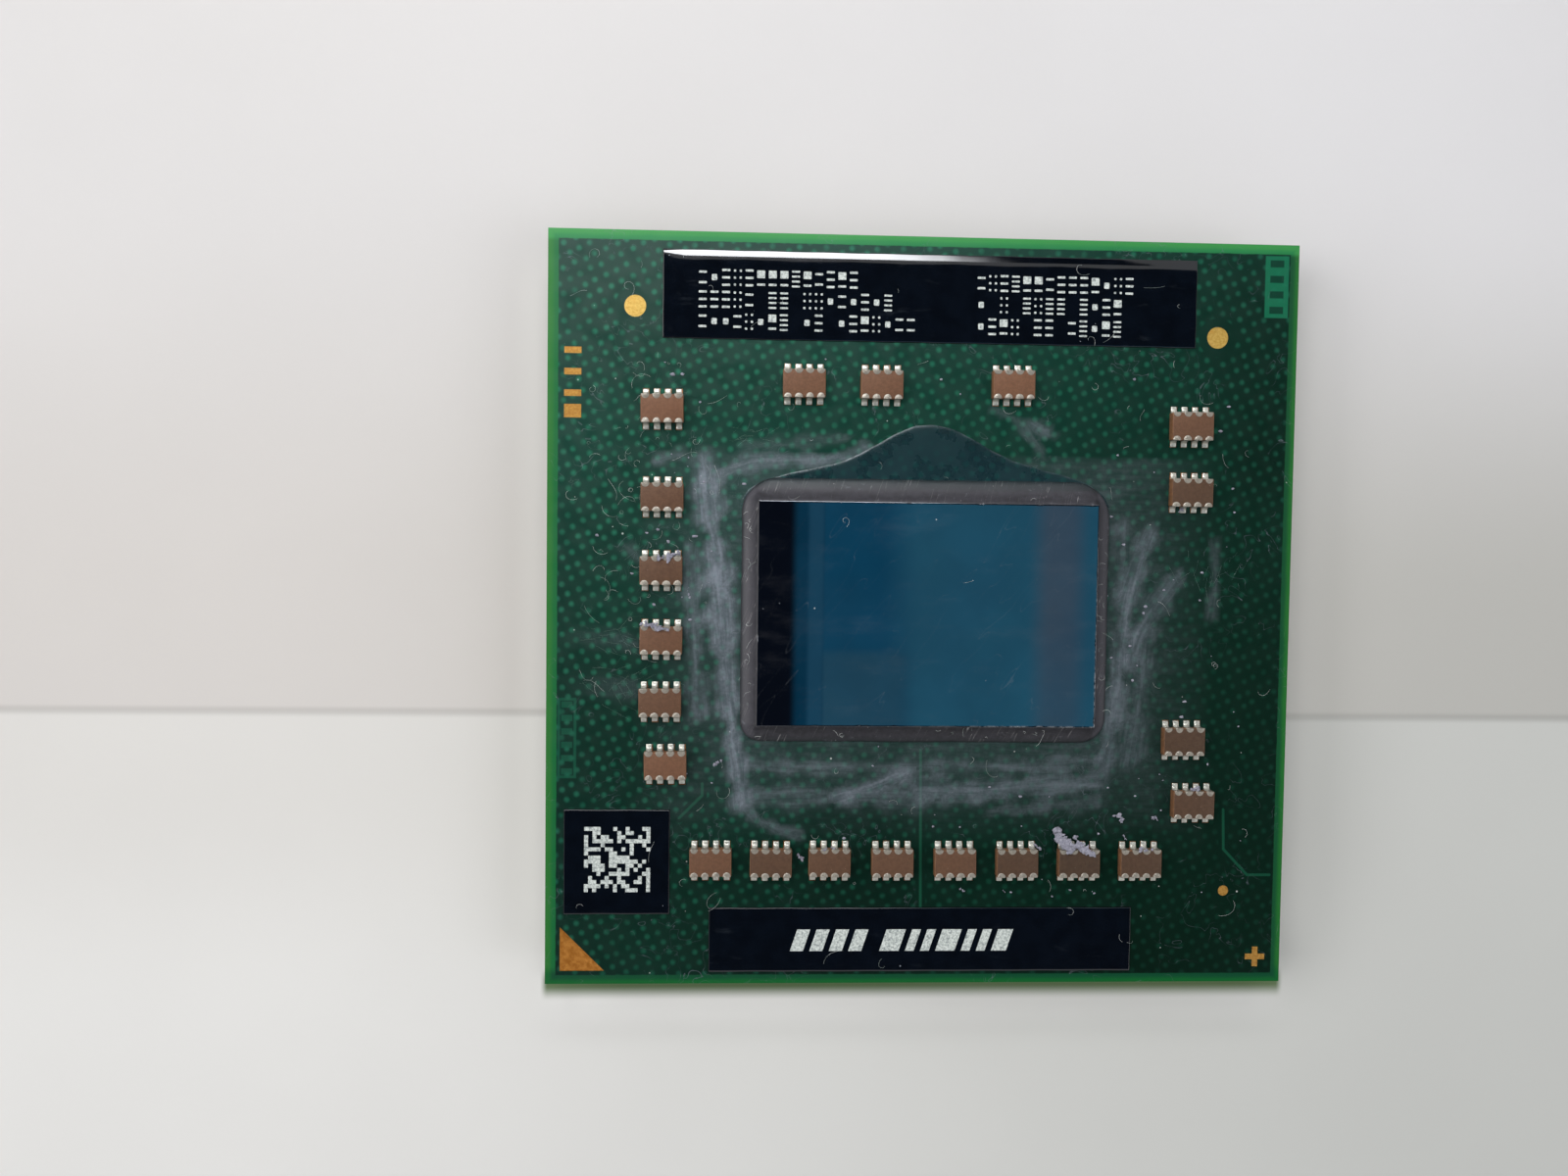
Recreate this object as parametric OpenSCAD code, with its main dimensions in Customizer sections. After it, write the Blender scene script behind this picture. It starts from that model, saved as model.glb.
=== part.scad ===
// Square flip-chip package on a pin grid, with a bare die and small capacitors on top.
// It is centred on X and Y; +X is right, +Y is back, and the pin tips stand on z = 0.

/* [Package] */
// side of the square package
body_side = 35; // [34.8:0.1:36]
// width of the bare border around the copper area
border_w = 0.48; // [0.3:0.02:0.7]
// thickness of the glass-epoxy core
core_t = 0.86; // [0.6:0.02:1.2]
// thickness of each build-up resin layer
buildup_t = 0.06; // [0.04:0.01:0.12]
// thickness of each copper layer
copper_t = 0.02; // [0.01:0.005:0.035]
// thickness of the solder mask over bare copper
mask_t = 0.03; // [0.02:0.005:0.05]

/* [Pins] */
// distance between neighbouring pins
pitch = 1.27; // [1.2:0.01:1.3]
// pins along each side of the full grid
grid_n = 26; // [20:2:26]
// side of the pinless square in the middle, in pins
void_n = 6; // [2:2:12]
// diameter of a pin's shank
pin_d = 0.305; // [0.28:0.005:0.5]
// length of a pin below the package
pin_len = 2.03; // [1.2:0.01:3.2]
// diameter of a pin's nail head
head_d = 0.66; // [0.6:0.01:0.72]
// thickness of a pin's nail head
head_t = 0.12; // [0.08:0.01:0.2]
// height of the small cone under a nail head
flare_h = 0.14; // [0.08:0.01:0.25]
// diameter of a pin's land
land_d = 0.8; // [0.76:0.01:0.9]

/* [Gas holes] */
// spacing of the gas holes in the top plane, along a row
gas_pitch = 1.2; // [1:0.05:2]
// diameter of a gas hole
gas_d = 0.3; // [0.15:0.01:0.4]

/* [Die] */
// die size along X
die_x = 15.75; // [12:0.05:16.5]
// die size along Y
die_y = 10.35; // [8:0.05:10.8]
// die centre along X
die_cx = 0.12; // [-0.4:0.02:0.4]
// thickness of the silicon
die_t = 0.78; // [0.6:0.01:0.9]
// thickness of the die's circuit layers
circuit_t = 0.02; // [0.01:0.005:0.03]
// gap between the solder mask and the die
bump_gap = 0.05; // [0.04:0.01:0.12]
// distance between modelled bumps
bump_pitch = 0.75; // [0.6:0.01:1.2]
// diameter of a modelled bump
bump_d = 0.22; // [0.14:0.01:0.3]
// reach of the underfill beyond the die
fillet_w = 0.8; // [0.5:0.05:0.9]
// height the underfill climbs on the die
fillet_h = 0.62; // [0.3:0.02:0.7]

/* [Capacitors] */
// capacitor body along X
cap_x = 1.95; // [1.85:0.01:2.1]
// capacitor body along Y
cap_y = 1.27; // [1.2:0.01:1.35]
// capacitor body height
cap_h = 0.48; // [0.3:0.01:0.8]
// distance between a capacitor's terminals
term_pitch = 0.508; // [0.5:0.002:0.53]
// width of a terminal
term_w = 0.28; // [0.2:0.01:0.32]
// reach of a terminal over the capacitor's top
wrap_l = 0.2; // [0.15:0.01:0.3]
// plating thickness of a terminal
wrap_t = 0.02; // [0.01:0.005:0.03]
// reach of the solder beyond the terminal
solder_l = 0.28; // [0.2:0.01:0.34]

/* [Marks] */
// thickness of the printed marking pads
ink_t = 0.035; // [0.02:0.005:0.06]
// corner radius of the printed marking pads
ink_r = 0.25; // [0.1:0.05:0.5]
// diameter of the round alignment pads
fiducial_d = 1; // [0.8:0.05:1.2]

/* [Hidden] */

COPPER = [0.72, 0.45, 0.2];
RESIN = [0.62, 0.66, 0.42];

// undersides of the layers, counted up from the pin tips
z_mask_b = pin_len;
z_build_b = z_mask_b + mask_t;
z_cu_b = z_build_b + buildup_t;
z_core = z_cu_b + copper_t;
z_cu_t = z_core + core_t;
z_build_t = z_cu_t + copper_t;
z_plane = z_build_t + buildup_t;
z_open = z_plane + copper_t; // top of the top copper
z_top = z_open + mask_t; // top of the solder mask
z_die = z_top + bump_gap;

copper_side = body_side - 2 * border_w;
overcut = 1;

// capacitor centres, [x, y]
LEFT = [[-12.23, 9.35], [-12.2, 5.3], [-12.21, 1.91], [-12.21, -1.29], [-12.21, -4.21],
  [-11.94, -7.14]];
BACK = [[-5.72, 10.6], [-2.12, 10.62], [4.01, 10.7]];
RIGHT = [[12.47, 8.92], [12.5, 5.85], [12.44, -5.87], [12.97, -8.88]];
front_y = -11.67;
FRONT = [for (x = [-9.8, -7.02, -4.26, -1.3, 1.68, 4.61, 7.54, 10.49]) [x, front_y]];
CAPS = concat(LEFT, BACK, RIGHT, FRONT);

// corner points [x, y] of each routed trace
TRACES = [
  [[0, -6.4], [0.12, -14.2]],
  [[-10.24, -8.04], [-10.24, -8.59], [-11.3, -9.65]],
  [[14.57, -9.9], [14.63, -11.1], [15.81, -12.34], [16.8, -12.34]]];
trace_w = 0.16;
trace_slot_w = 0.4;

// gold marks
left_fiducial = [-13.52, 14.05];
right_fiducial = [13.7, 13.12];
dot_centre = [14.67, -13.1];
dot_d = 0.5;
TRIANGLE = [[-16.82, -14.81], [-16.82, -16.88], [-14.75, -16.88]];
bar_start = [-16.74, 8.9];
bar_pitch = 0.98;
bar_l = 0.78;
bar_w = 0.3;
first_bar_w = 0.62;
cross_centre = [16.3, -16.3];
cross_l = 0.96;
cross_w = 0.28;
mark_drop = 0.01; // depth of a gold mark's top below the mask's top

// helpers

module layer(z, height) {
  translate([0, 0, z]) linear_extrude(height = height) children();
}

module centred_square(side) {
  square([side, side], center = true);
}

module slab(side, z0, z1) {
  translate([-side / 2, -side / 2, z0]) cube([side, side, z1 - z0]);
}

module path(points, width) {
  for (i = [0:len(points) - 2]) {
    start = points[i];
    run = points[i + 1] - start;
    translate(start) rotate(atan2(run[1], run[0])) translate([-width / 4, -width / 2])
      square([norm(run) + width / 2, width]);
  }
}

module rounded(x0, y0, x1, y1, r) {
  translate([x0 + r, y0]) square([x1 - x0 - 2 * r, y1 - y0]);
  translate([x0, y0 + r]) square([x1 - x0, y1 - y0 - 2 * r]);
  for (x = [x0 + r, x1 - r], y = [y0 + r, y1 - r])
    translate([x, y]) circle(r = r, $fn = 48);
}

// core and inner layers

via_d = 0.3;

// a 12 x 8 grid of vias
module at_vias() {
  for (i = [-5.5:5.5], j = [-3.5:3.5]) translate([i * pitch, j * pitch, 0]) children();
}

module substrate_core() {
  color([0.72, 0.68, 0.45]) layer(z_core, core_t) difference() {
    centred_square(body_side);
    at_vias() circle(d = via_d, $fn = 32);
  }
}

module core_vias() {
  color(COPPER) at_vias() translate([0, 0, z_core]) cylinder(d = via_d, h = core_t, $fn = 32);
}

module lower_copper_plane() {
  color(COPPER) slab(copper_side, z_cu_b, z_core);
}

module upper_copper_plane() {
  color(COPPER) slab(copper_side, z_cu_t, z_build_t);
}

// each resin layer also rims its copper plane
module bottom_buildup_layer() {
  color(RESIN) difference() {
    slab(body_side, z_build_b, z_core);
    slab(copper_side, z_cu_b, z_core + overcut);
  }
}

module top_buildup_layer() {
  color(RESIN) difference() {
    slab(body_side, z_cu_t, z_plane);
    slab(copper_side, z_cu_t - overcut, z_build_t);
  }
}

// top plane, traces and solder masks

// boxes without gas holes, [centre, half size]
KEEP_OUTS = concat(
  [[[die_cx, 0], [die_x / 2 + 0.5, die_y / 2 + 0.5]]],
  [for (c = CAPS) [c, [cap_x / 2 + 0.25, cap_y / 2 + 0.6]]],
  [for (t = TRACES, i = [0:len(t) - 2])
    [(t[i] + t[i + 1]) / 2,
      [abs(t[i][0] - t[i + 1][0]) / 2 + 0.55, abs(t[i][1] - t[i + 1][1]) / 2 + 0.55]]],
  [[left_fiducial, [0.9, 0.9]],
    [right_fiducial, [0.9, 0.9]],
    [dot_centre, [0.6, 0.6]],
    [[-16.1, -15.9], [1.6, 1.4]], // triangle
    [cross_centre, [0.9, 0.9]],
    [[-16.35, 10.6], [0.8, 2.2]]]); // bars
gas_inset = 0.5; // least distance from a hole's centre to the copper's edge

function in_box(point, box) = abs(point[0] - box[0][0]) <= box[1][0]
  && abs(point[1] - box[0][1]) <= box[1][1];
function hole_free(point) = len([for (box = KEEP_OUTS) if (in_box(point, box)) 1]) == 0;

// staggered holes that let gas out of the resin
module gas_holes() {
  n = 2 * floor((copper_side / 2 - gas_inset) / gas_pitch);
  for (i = [-n:n], j = [-n:n]) {
    centre = [i, j] * gas_pitch / 2;
    if ((i + j) % 2 == 0 && hole_free(centre))
      translate(centre) circle(d = gas_d, $fn = 24);
  }
}

module perforated_top_plane() {
  color(COPPER) layer(z_plane, copper_t) difference() {
    centred_square(copper_side);
    row_windows(CAPS, 0);
    gold_shapes();
    for (t = TRACES) path(t, trace_slot_w);
    gas_holes();
  }
}

module routed_traces() {
  color(COPPER) layer(z_plane, copper_t) for (t = TRACES) path(t, trace_w);
}

// covers the copper, and fills the border and the windows around the pads
module top_solder_mask() {
  color([0.08, 0.27, 0.2]) difference() {
    layer(z_plane, z_top - z_plane) difference() {
      centred_square(body_side);
      land_windows(CAPS);
      gold_shapes();
      die_window();
    }
    layer(z_plane - overcut, z_open - z_plane + overcut) difference() {
      centred_square(copper_side);
      row_windows(CAPS, -0.01);
    }
  }
}

module bottom_solder_mask() {
  color([0.08, 0.3, 0.2]) layer(z_mask_b, mask_t) difference() {
    centred_square(body_side);
    at_pins("all") circle(d = land_d, $fn = 48);
  }
}

// die

die_window_inset = 0.25; // mask opening's edge, in from the die's edge
bump_margin = 0.5; // least distance from a bump's centre to the die's edge
// back edge of the resin run-out, [x, y]
RUN_OUT = [[-7.6, 6.1], [-5.4, 6.75], [-2.93, 6.95], [-1.8, 8.04], [-0.9, 8.6], [0.04, 8.75],
  [1, 8.62], [2.13, 8.1], [3.54, 6.98], [5.9, 6.6], [8, 6.1]];
run_out_y = die_y / 2 + 0.3; // its straight front edge
run_out_t = 0.015;

module die_window() {
  translate([die_cx, 0])
    square([die_x - 2 * die_window_inset, die_y - 2 * die_window_inset], center = true);
}

function bump_count(length) = floor((length - 2 * bump_margin) / bump_pitch) + 1;

module at_bumps() {
  nx = bump_count(die_x);
  ny = bump_count(die_y);
  for (i = [0:nx - 1], j = [0:ny - 1])
    translate([die_cx + (i - (nx - 1) / 2) * bump_pitch, (j - (ny - 1) / 2) * bump_pitch, 0])
      children();
}

module die_block(z, height) {
  translate([die_cx - die_x / 2, -die_y / 2, z]) cube([die_x, die_y, height]);
}

module silicon_die() {
  color([0.12, 0.16, 0.2]) die_block(z_die + circuit_t, die_t);
}

module die_circuit_layers() {
  color([0.35, 0.33, 0.38]) die_block(z_die, circuit_t);
}

module flip_chip_bumps() {
  color([0.7, 0.7, 0.72]) at_bumps() translate([0, 0, z_open])
    cylinder(d = bump_d, h = z_die - z_open, $fn = 32);
}

// section of the underfill, [distance from the die, z]
module meniscus() {
  polygon([
    [0, z_top],
    [fillet_w, z_top],
    [fillet_w, z_top + 0.02],
    [fillet_w * 0.55, z_top + fillet_h * 0.24],
    [fillet_w * 0.25, z_top + fillet_h * 0.55],
    [0.03, z_top + fillet_h],
    [0, z_top + fillet_h]]);
}

module underfill() {
  color([0.22, 0.2, 0.24]) {
    // in the mask opening, around the bumps
    layer(z_open, mask_t) difference() {
      die_window();
      at_bumps() circle(d = bump_d, $fn = 32);
    }
    // in the gap under the die
    layer(z_top, bump_gap) difference() {
      translate([die_cx, 0]) square([die_x, die_y], center = true);
      at_bumps() circle(d = bump_d, $fn = 32);
    }
    // fillet: right side, back side and the back corners, then turned half round
    translate([die_cx, 0, 0]) for (s = [0, 1]) rotate(s * 180) {
      translate([die_x / 2, die_y / 2, 0]) rotate([90, 0, 0])
        linear_extrude(height = die_y) meniscus();
      translate([-die_x / 2, die_y / 2, 0]) rotate([90, 0, 90])
        linear_extrude(height = die_x) meniscus();
      translate([die_x / 2, die_y / 2, 0]) rotate_extrude(angle = 90, $fn = 64) meniscus();
      translate([-die_x / 2, die_y / 2, 0]) rotate(90)
        rotate_extrude(angle = 90, $fn = 64) meniscus();
    }
    // resin that ran out on the dispensing side, behind the die
    layer(z_top, run_out_t)
      polygon(concat([[-7.6, run_out_y]], RUN_OUT, [[8, run_out_y]]));
  }
}

// capacitors, with four terminals on the front side and four on the back

pad_y = cap_y / 2 - wrap_l; // inner end of a land, from the capacitor's centre
pad_l = wrap_l + wrap_t + solder_l;
foot_y = pad_y + term_w / 2; // centre of a terminal's round end
face_y = cap_y / 2 + wrap_t; // outer face of a terminal
window_gap = 0.02;
land_side = 0.01; // extra width of a land, each side of its terminal

// children are drawn for the back side, then turned half round for the front
module at_cap_sides(centres) {
  for (c = centres, s = [0, 1]) translate([c[0], c[1], 0]) rotate(s * 180) children();
}

module at_terminals(centres) {
  at_cap_sides(centres) for (k = [-1.5:1.5]) translate([k * term_pitch, 0, 0]) children();
}

// one window around each row of lands, widened all round by grow
module row_windows(centres, grow) {
  width = 3 * term_pitch + term_w + 2 * window_gap + 2 * grow;
  at_cap_sides(centres) translate([-width / 2, pad_y - window_gap - grow])
    square([width, pad_l + window_gap + 2 * grow]);
}

// one opening in the mask for each land
module land_windows(centres) {
  at_terminals(centres) translate([-term_w / 2 - window_gap, pad_y - window_gap])
    square([term_w + 2 * window_gap, pad_l + 2 * window_gap]);
}

module cap_body(centres) {
  color([0.45, 0.31, 0.25]) for (c = centres)
    translate([c[0] - cap_x / 2, c[1] - cap_y / 2, z_top + wrap_t]) cube([cap_x, cap_y, cap_h]);
}

// a strip up the side, and a round-ended tongue under and over the body
module cap_terminal(centres) {
  color([0.75, 0.75, 0.74]) at_terminals(centres) {
    translate([-term_w / 2, cap_y / 2, z_top]) cube([term_w, wrap_t, cap_h + 2 * wrap_t]);
    for (z = [z_top, z_top + cap_h + wrap_t]) layer(z, wrap_t) {
      translate([-term_w / 2, foot_y]) square([term_w, wrap_l - term_w / 2 + wrap_t]);
      translate([0, foot_y]) circle(d = term_w, $fn = 32);
    }
  }
}

module cap_solder(centres) {
  color([0.8, 0.8, 0.8]) at_terminals(centres)
    translate([-term_w / 2, 0, 0]) rotate([90, 0, 90]) linear_extrude(height = term_w)
      polygon([
        [foot_y, z_open],
        [face_y + solder_l, z_open],
        [face_y + solder_l, z_open + 0.03],
        [face_y + solder_l * 0.45, z_top + 0.07],
        [face_y + solder_l * 0.15, z_top + 0.2],
        [face_y, z_top + cap_h * 0.62],
        [face_y, z_top],
        [foot_y, z_top]]);
}

module cap_land(centres) {
  color(COPPER) at_terminals(centres) translate([-term_w / 2 - land_side, pad_y, z_plane])
    cube([term_w + 2 * land_side, pad_l, copper_t]);
}

module left_capacitor_bodies() { cap_body(LEFT); }
module left_capacitor_terminals() { cap_terminal(LEFT); }
module left_capacitor_solder() { cap_solder(LEFT); }
module left_capacitor_lands() { cap_land(LEFT); }
module back_capacitor_bodies() { cap_body(BACK); }
module back_capacitor_terminals() { cap_terminal(BACK); }
module back_capacitor_solder() { cap_solder(BACK); }
module back_capacitor_lands() { cap_land(BACK); }
module right_capacitor_bodies() { cap_body(RIGHT); }
module right_capacitor_terminals() { cap_terminal(RIGHT); }
module right_capacitor_solder() { cap_solder(RIGHT); }
module right_capacitor_lands() { cap_land(RIGHT); }
module front_capacitor_bodies() { cap_body(FRONT); }
module front_capacitor_terminals() { cap_terminal(FRONT); }
module front_capacitor_solder() { cap_solder(FRONT); }
module front_capacitor_lands() { cap_land(FRONT); }

// printed and plated marks

module ink(x0, y0, x1, y1) {
  color([0.03, 0.05, 0.09]) layer(z_top, ink_t) rounded(x0, y0, x1, y1, ink_r);
}

module upper_marking_pad() { ink(-12.27, 12.6, 12.65, 16.68); }
module lower_marking_pad() { ink(-9.88, -16.95, 10.21, -13.88); }
module code_marking_pad() { ink(-16.66, -14.2, -11.72, -9.25); }

module fiducial(centre) {
  translate(centre) circle(d = fiducial_d, $fn = 64);
}

module dot() {
  translate(dot_centre) circle(d = dot_d, $fn = 48);
}

// four bars in a column, the front one wider
module bars() {
  for (i = [0:3]) translate([bar_start[0], bar_start[1] + i * bar_pitch])
    square([bar_l, i == 0 ? first_bar_w : bar_w]);
}

module cross() {
  translate(cross_centre) {
    square([cross_l, cross_w], center = true);
    square([cross_w, cross_l], center = true);
  }
}

module gold_shapes() {
  fiducial(left_fiducial);
  fiducial(right_fiducial);
  dot();
  polygon(TRIANGLE);
  bars();
  cross();
}

module gold() {
  color([0.85, 0.66, 0.25]) layer(z_plane, z_top - mark_drop - z_plane) children();
}

module left_fiducial_pad() { gold() fiducial(left_fiducial); }
module right_fiducial_pad() { gold() fiducial(right_fiducial); }
module gold_test_dot() { gold() dot(); }
module pin_one_triangle() { gold() polygon(TRIANGLE); }
module edge_index_bars() { gold() bars(); }
module corner_index_cross() { gold() cross(); }

// pins

last = grid_n - 1;
half = last / 2;
land_t = mask_t / 2;
z_land = z_mask_b + land_t;
solder_t = 0.05; // solder between a nail head and the mask's underside
z_head = z_mask_b - solder_t; // top of the nail head
z_shank = z_head - head_t;
tip_in = 0.05; // pin tip's chamfer, inwards
tip_h = 0.08; // and upwards
flare_w = 0.05;

// the middle square and the two front corners are empty
function has_pin(i, j) = !(abs(i - half) < void_n / 2 && abs(j - half) < void_n / 2)
  && !(j == 0 && (i == 0 || i == last));

// the corner group is the last pin at each end of the back and front rows
function group(i, j) =
  (j == last && (i == 0 || i == last)) || (j == 0 && (i == 1 || i == last - 1)) ? "corner" :
  j > half + void_n / 2 ? "back" :
  j < half - void_n / 2 ? "front" :
  i < half ? "middle left" : "middle right";

module at_pins(name) {
  for (i = [0:last], j = [0:last])
    if (has_pin(i, j) && (name == "all" || group(i, j) == name))
      translate([(i - half) * pitch, (j - half) * pitch, 0]) children();
}

module pins(name) {
  color([0.83, 0.68, 0.35]) at_pins(name) rotate_extrude($fn = 48) polygon([
    [0, 0],
    [pin_d / 2 - tip_in, 0],
    [pin_d / 2, tip_h],
    [pin_d / 2, z_shank - flare_h],
    [pin_d / 2 + flare_w, z_shank],
    [head_d / 2, z_shank],
    [head_d / 2, z_head],
    [0, z_head]]);
}

module pin_solder(name) {
  color([0.75, 0.75, 0.76]) at_pins(name) translate([0, 0, z_head])
    cylinder(d1 = head_d, d2 = land_d - 0.04, h = z_land - z_head, $fn = 48);
}

module pin_lands(name) {
  color([0.8, 0.6, 0.25]) at_pins(name) translate([0, 0, z_land])
    cylinder(d = land_d, h = mask_t - land_t, $fn = 48);
}

module corner_pins() { pins("corner"); }
module back_pins() { pins("back"); }
module middle_left_pins() { pins("middle left"); }
module middle_right_pins() { pins("middle right"); }
module front_pins() { pins("front"); }
module corner_pin_solder() { pin_solder("corner"); }
module back_pin_solder() { pin_solder("back"); }
module middle_left_pin_solder() { pin_solder("middle left"); }
module middle_right_pin_solder() { pin_solder("middle right"); }
module front_pin_solder() { pin_solder("front"); }
module corner_pin_lands() { pin_lands("corner"); }
module back_pin_lands() { pin_lands("back"); }
module middle_left_pin_lands() { pin_lands("middle left"); }
module middle_right_pin_lands() { pin_lands("middle right"); }
module front_pin_lands() { pin_lands("front"); }

substrate_core();
core_vias();
lower_copper_plane();
upper_copper_plane();
bottom_buildup_layer();
top_buildup_layer();
perforated_top_plane();
routed_traces();
bottom_solder_mask();
top_solder_mask();
silicon_die();
die_circuit_layers();
flip_chip_bumps();
underfill();
left_capacitor_bodies();
left_capacitor_terminals();
left_capacitor_solder();
left_capacitor_lands();
back_capacitor_bodies();
back_capacitor_terminals();
back_capacitor_solder();
back_capacitor_lands();
right_capacitor_bodies();
right_capacitor_terminals();
right_capacitor_solder();
right_capacitor_lands();
front_capacitor_bodies();
front_capacitor_terminals();
front_capacitor_solder();
front_capacitor_lands();
upper_marking_pad();
lower_marking_pad();
code_marking_pad();
left_fiducial_pad();
right_fiducial_pad();
gold_test_dot();
pin_one_triangle();
edge_index_bars();
corner_index_cross();
corner_pins();
back_pins();
middle_left_pins();
middle_right_pins();
front_pins();
corner_pin_solder();
back_pin_solder();
middle_left_pin_solder();
middle_right_pin_solder();
front_pin_solder();
corner_pin_lands();
back_pin_lands();
middle_left_pin_lands();
middle_right_pin_lands();
front_pin_lands();
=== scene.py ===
# A pin-grid processor package that stands on its pins at z = 0, +Z up and centred on x = y = 0.
# A polished die in a resin fillet sits in the middle of the top face, with capacitors round it
# and printed pads along the back (+Y) edge, the front (-Y) edge and the front left corner.
# Lengths are in millimetres unless a comment says otherwise. MM turns them into metres.
import math
import operator
import random
from functools import reduce

import bmesh
import bpy
import numpy as np
from mathutils import Matrix, Quaternion, Vector

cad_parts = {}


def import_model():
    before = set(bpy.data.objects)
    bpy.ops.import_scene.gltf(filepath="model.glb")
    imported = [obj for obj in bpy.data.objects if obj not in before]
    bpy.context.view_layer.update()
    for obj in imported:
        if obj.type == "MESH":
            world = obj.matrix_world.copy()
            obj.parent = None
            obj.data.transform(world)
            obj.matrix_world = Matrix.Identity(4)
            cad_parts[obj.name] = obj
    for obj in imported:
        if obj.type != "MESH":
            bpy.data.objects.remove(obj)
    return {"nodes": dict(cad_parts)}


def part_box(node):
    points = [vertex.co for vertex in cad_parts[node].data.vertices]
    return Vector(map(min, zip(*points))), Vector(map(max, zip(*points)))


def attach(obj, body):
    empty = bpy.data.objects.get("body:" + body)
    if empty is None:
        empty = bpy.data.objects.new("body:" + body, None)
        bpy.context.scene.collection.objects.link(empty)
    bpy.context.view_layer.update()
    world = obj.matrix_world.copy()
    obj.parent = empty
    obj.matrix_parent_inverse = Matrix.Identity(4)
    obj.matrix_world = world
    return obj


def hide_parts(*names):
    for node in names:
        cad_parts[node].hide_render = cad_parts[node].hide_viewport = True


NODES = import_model()["nodes"]
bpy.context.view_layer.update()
MM = 0.001

# ---------------------------------------------------------------- driving dimensions

Z_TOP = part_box("top_solder_mask")[1].z / MM
Z_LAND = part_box("perforated_top_plane")[1].z / MM
DIE_LO, DIE_HI = [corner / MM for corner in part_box("silicon_die")]
CAP_LO, CAP_HI = [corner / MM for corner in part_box("front_capacitor_bodies")]

# capacitors: centres (x, y) by bank
LEFT = [(-12.23, 9.35), (-12.2, 5.3), (-12.21, 1.91), (-12.21, -1.29), (-12.21, -4.21),
        (-11.94, -7.14)]
BACK = [(-5.72, 10.6), (-2.12, 10.62), (4.01, 10.7)]
RIGHT = [(12.47, 8.92), (12.5, 5.85), (12.44, -5.87), (12.97, -8.88)]
FRONT = [(x, -11.67) for x in (-9.8, -7.02, -4.26, -1.3, 1.68, 4.61, 7.54, 10.49)]
CAP_X, CAP_Y = 1.95, 1.27
TERM_PITCH, TERM_W = 0.508, 0.28
WRAP_L, WRAP_T = 0.2, 0.02  # plated end wrap: reach and thickness
SOLDER_L = 0.28

PIN_PITCH = 1.27
PINS_PER_SIDE = 26

# copper traces seen through the lacquer: polylines of (x, y)
TRACES = [
    [(0, -6.4), (0.12, -14.2)],
    [(-10.24, -8.04), (-10.24, -8.59), (-11.3, -9.65)],
    [(14.57, -9.2), (14.63, -11.1), (15.81, -12.34), (16.9, -12.34)],
]
# places without plane holes: x, y, radius
SOLID_SPOTS = [(-13.52, 14.05, 0.85), (13.7, 13.12, 0.85), (14.67, -13.1, 0.55)]
PLANE_HOLE_PITCH = 0.537
DIE_MID_X = 0.12  # middle and half size of the die, as its materials see it
DIE_HALF_X, DIE_HALF_Y = 7.875, 5.175

INK_T, INK_EDGE = 0.072, 0.014  # printed block: height, and height of its sharp edge

rng = random.Random(638)


# ---------------------------------------------------------------- shader graphs

def rgb(*display):
    """Display colour 0-255 to linear RGBA."""
    def channel(c):
        return c / 12.92 if c <= 0.04045 else ((c + 0.055) / 1.055) ** 2.4
    return (*(channel(value / 255) for value in display), 1.0)


def feed(socket, value):
    """Links a signal to the socket or sets its value. None leaves it alone."""
    if isinstance(value, Signal):
        socket.id_data.links.new(value.socket, socket)
    elif value is not None:
        socket.default_value = value


def add_node(tree, kind, inputs, **settings):
    node = tree.nodes.new("ShaderNode" + kind)
    for key, value in settings.items():
        setattr(node, key, value)
    for key, value in inputs.items():
        feed(node.inputs[key], value)
    return node


class Signal:
    """A node output that takes part in arithmetic. Each operation adds one node."""

    def __init__(self, socket):
        self.socket = socket

    def math(self, operation, *values):
        node = add_node(self.socket.id_data, "Math", dict(enumerate(values)), operation=operation)
        return Signal(node.outputs[0])

    def __add__(self, other): return self.math("ADD", self, other)
    def __radd__(self, other): return self.math("ADD", other, self)
    def __sub__(self, other): return self.math("SUBTRACT", self, other)
    def __rsub__(self, other): return self.math("SUBTRACT", other, self)
    def __mul__(self, other): return self.math("MULTIPLY", self, other)
    def __pow__(self, other): return self.math("POWER", self, other)
    def __abs__(self): return self.math("ABSOLUTE", self)
    def max(self, other): return self.math("MAXIMUM", self, other)
    def min(self, other): return self.math("MINIMUM", self, other)
    def sqrt(self): return self.math("SQRT", self)
    def fract(self): return self.math("FRACT", self)
    def less_than(self, other): return self.math("LESS_THAN", self, other)

    def step(self, start, end, lo=0.0, hi=1.0):
        """Smooth step from lo at start to hi at end."""
        inputs = {"Value": self, "From Min": start, "From Max": end, "To Min": lo, "To Max": hi}
        node = add_node(self.socket.id_data, "MapRange", inputs, interpolation_type="SMOOTHSTEP")
        return Signal(node.outputs[0])

    def split(self):
        node = add_node(self.socket.id_data, "SeparateXYZ", {0: self})
        return [Signal(output) for output in node.outputs]


def vector(x, y, z=0.0):
    return Signal(add_node(x.socket.id_data, "CombineXYZ", {0: x, 1: y, 2: z}).outputs[0])


def mix(amount, under, over):
    """The colour under, covered by the colour over."""
    inputs = {0: amount, 6: under, 7: over}
    return Signal(add_node(amount.socket.id_data, "Mix", inputs, data_type="RGBA").outputs[2])


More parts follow.
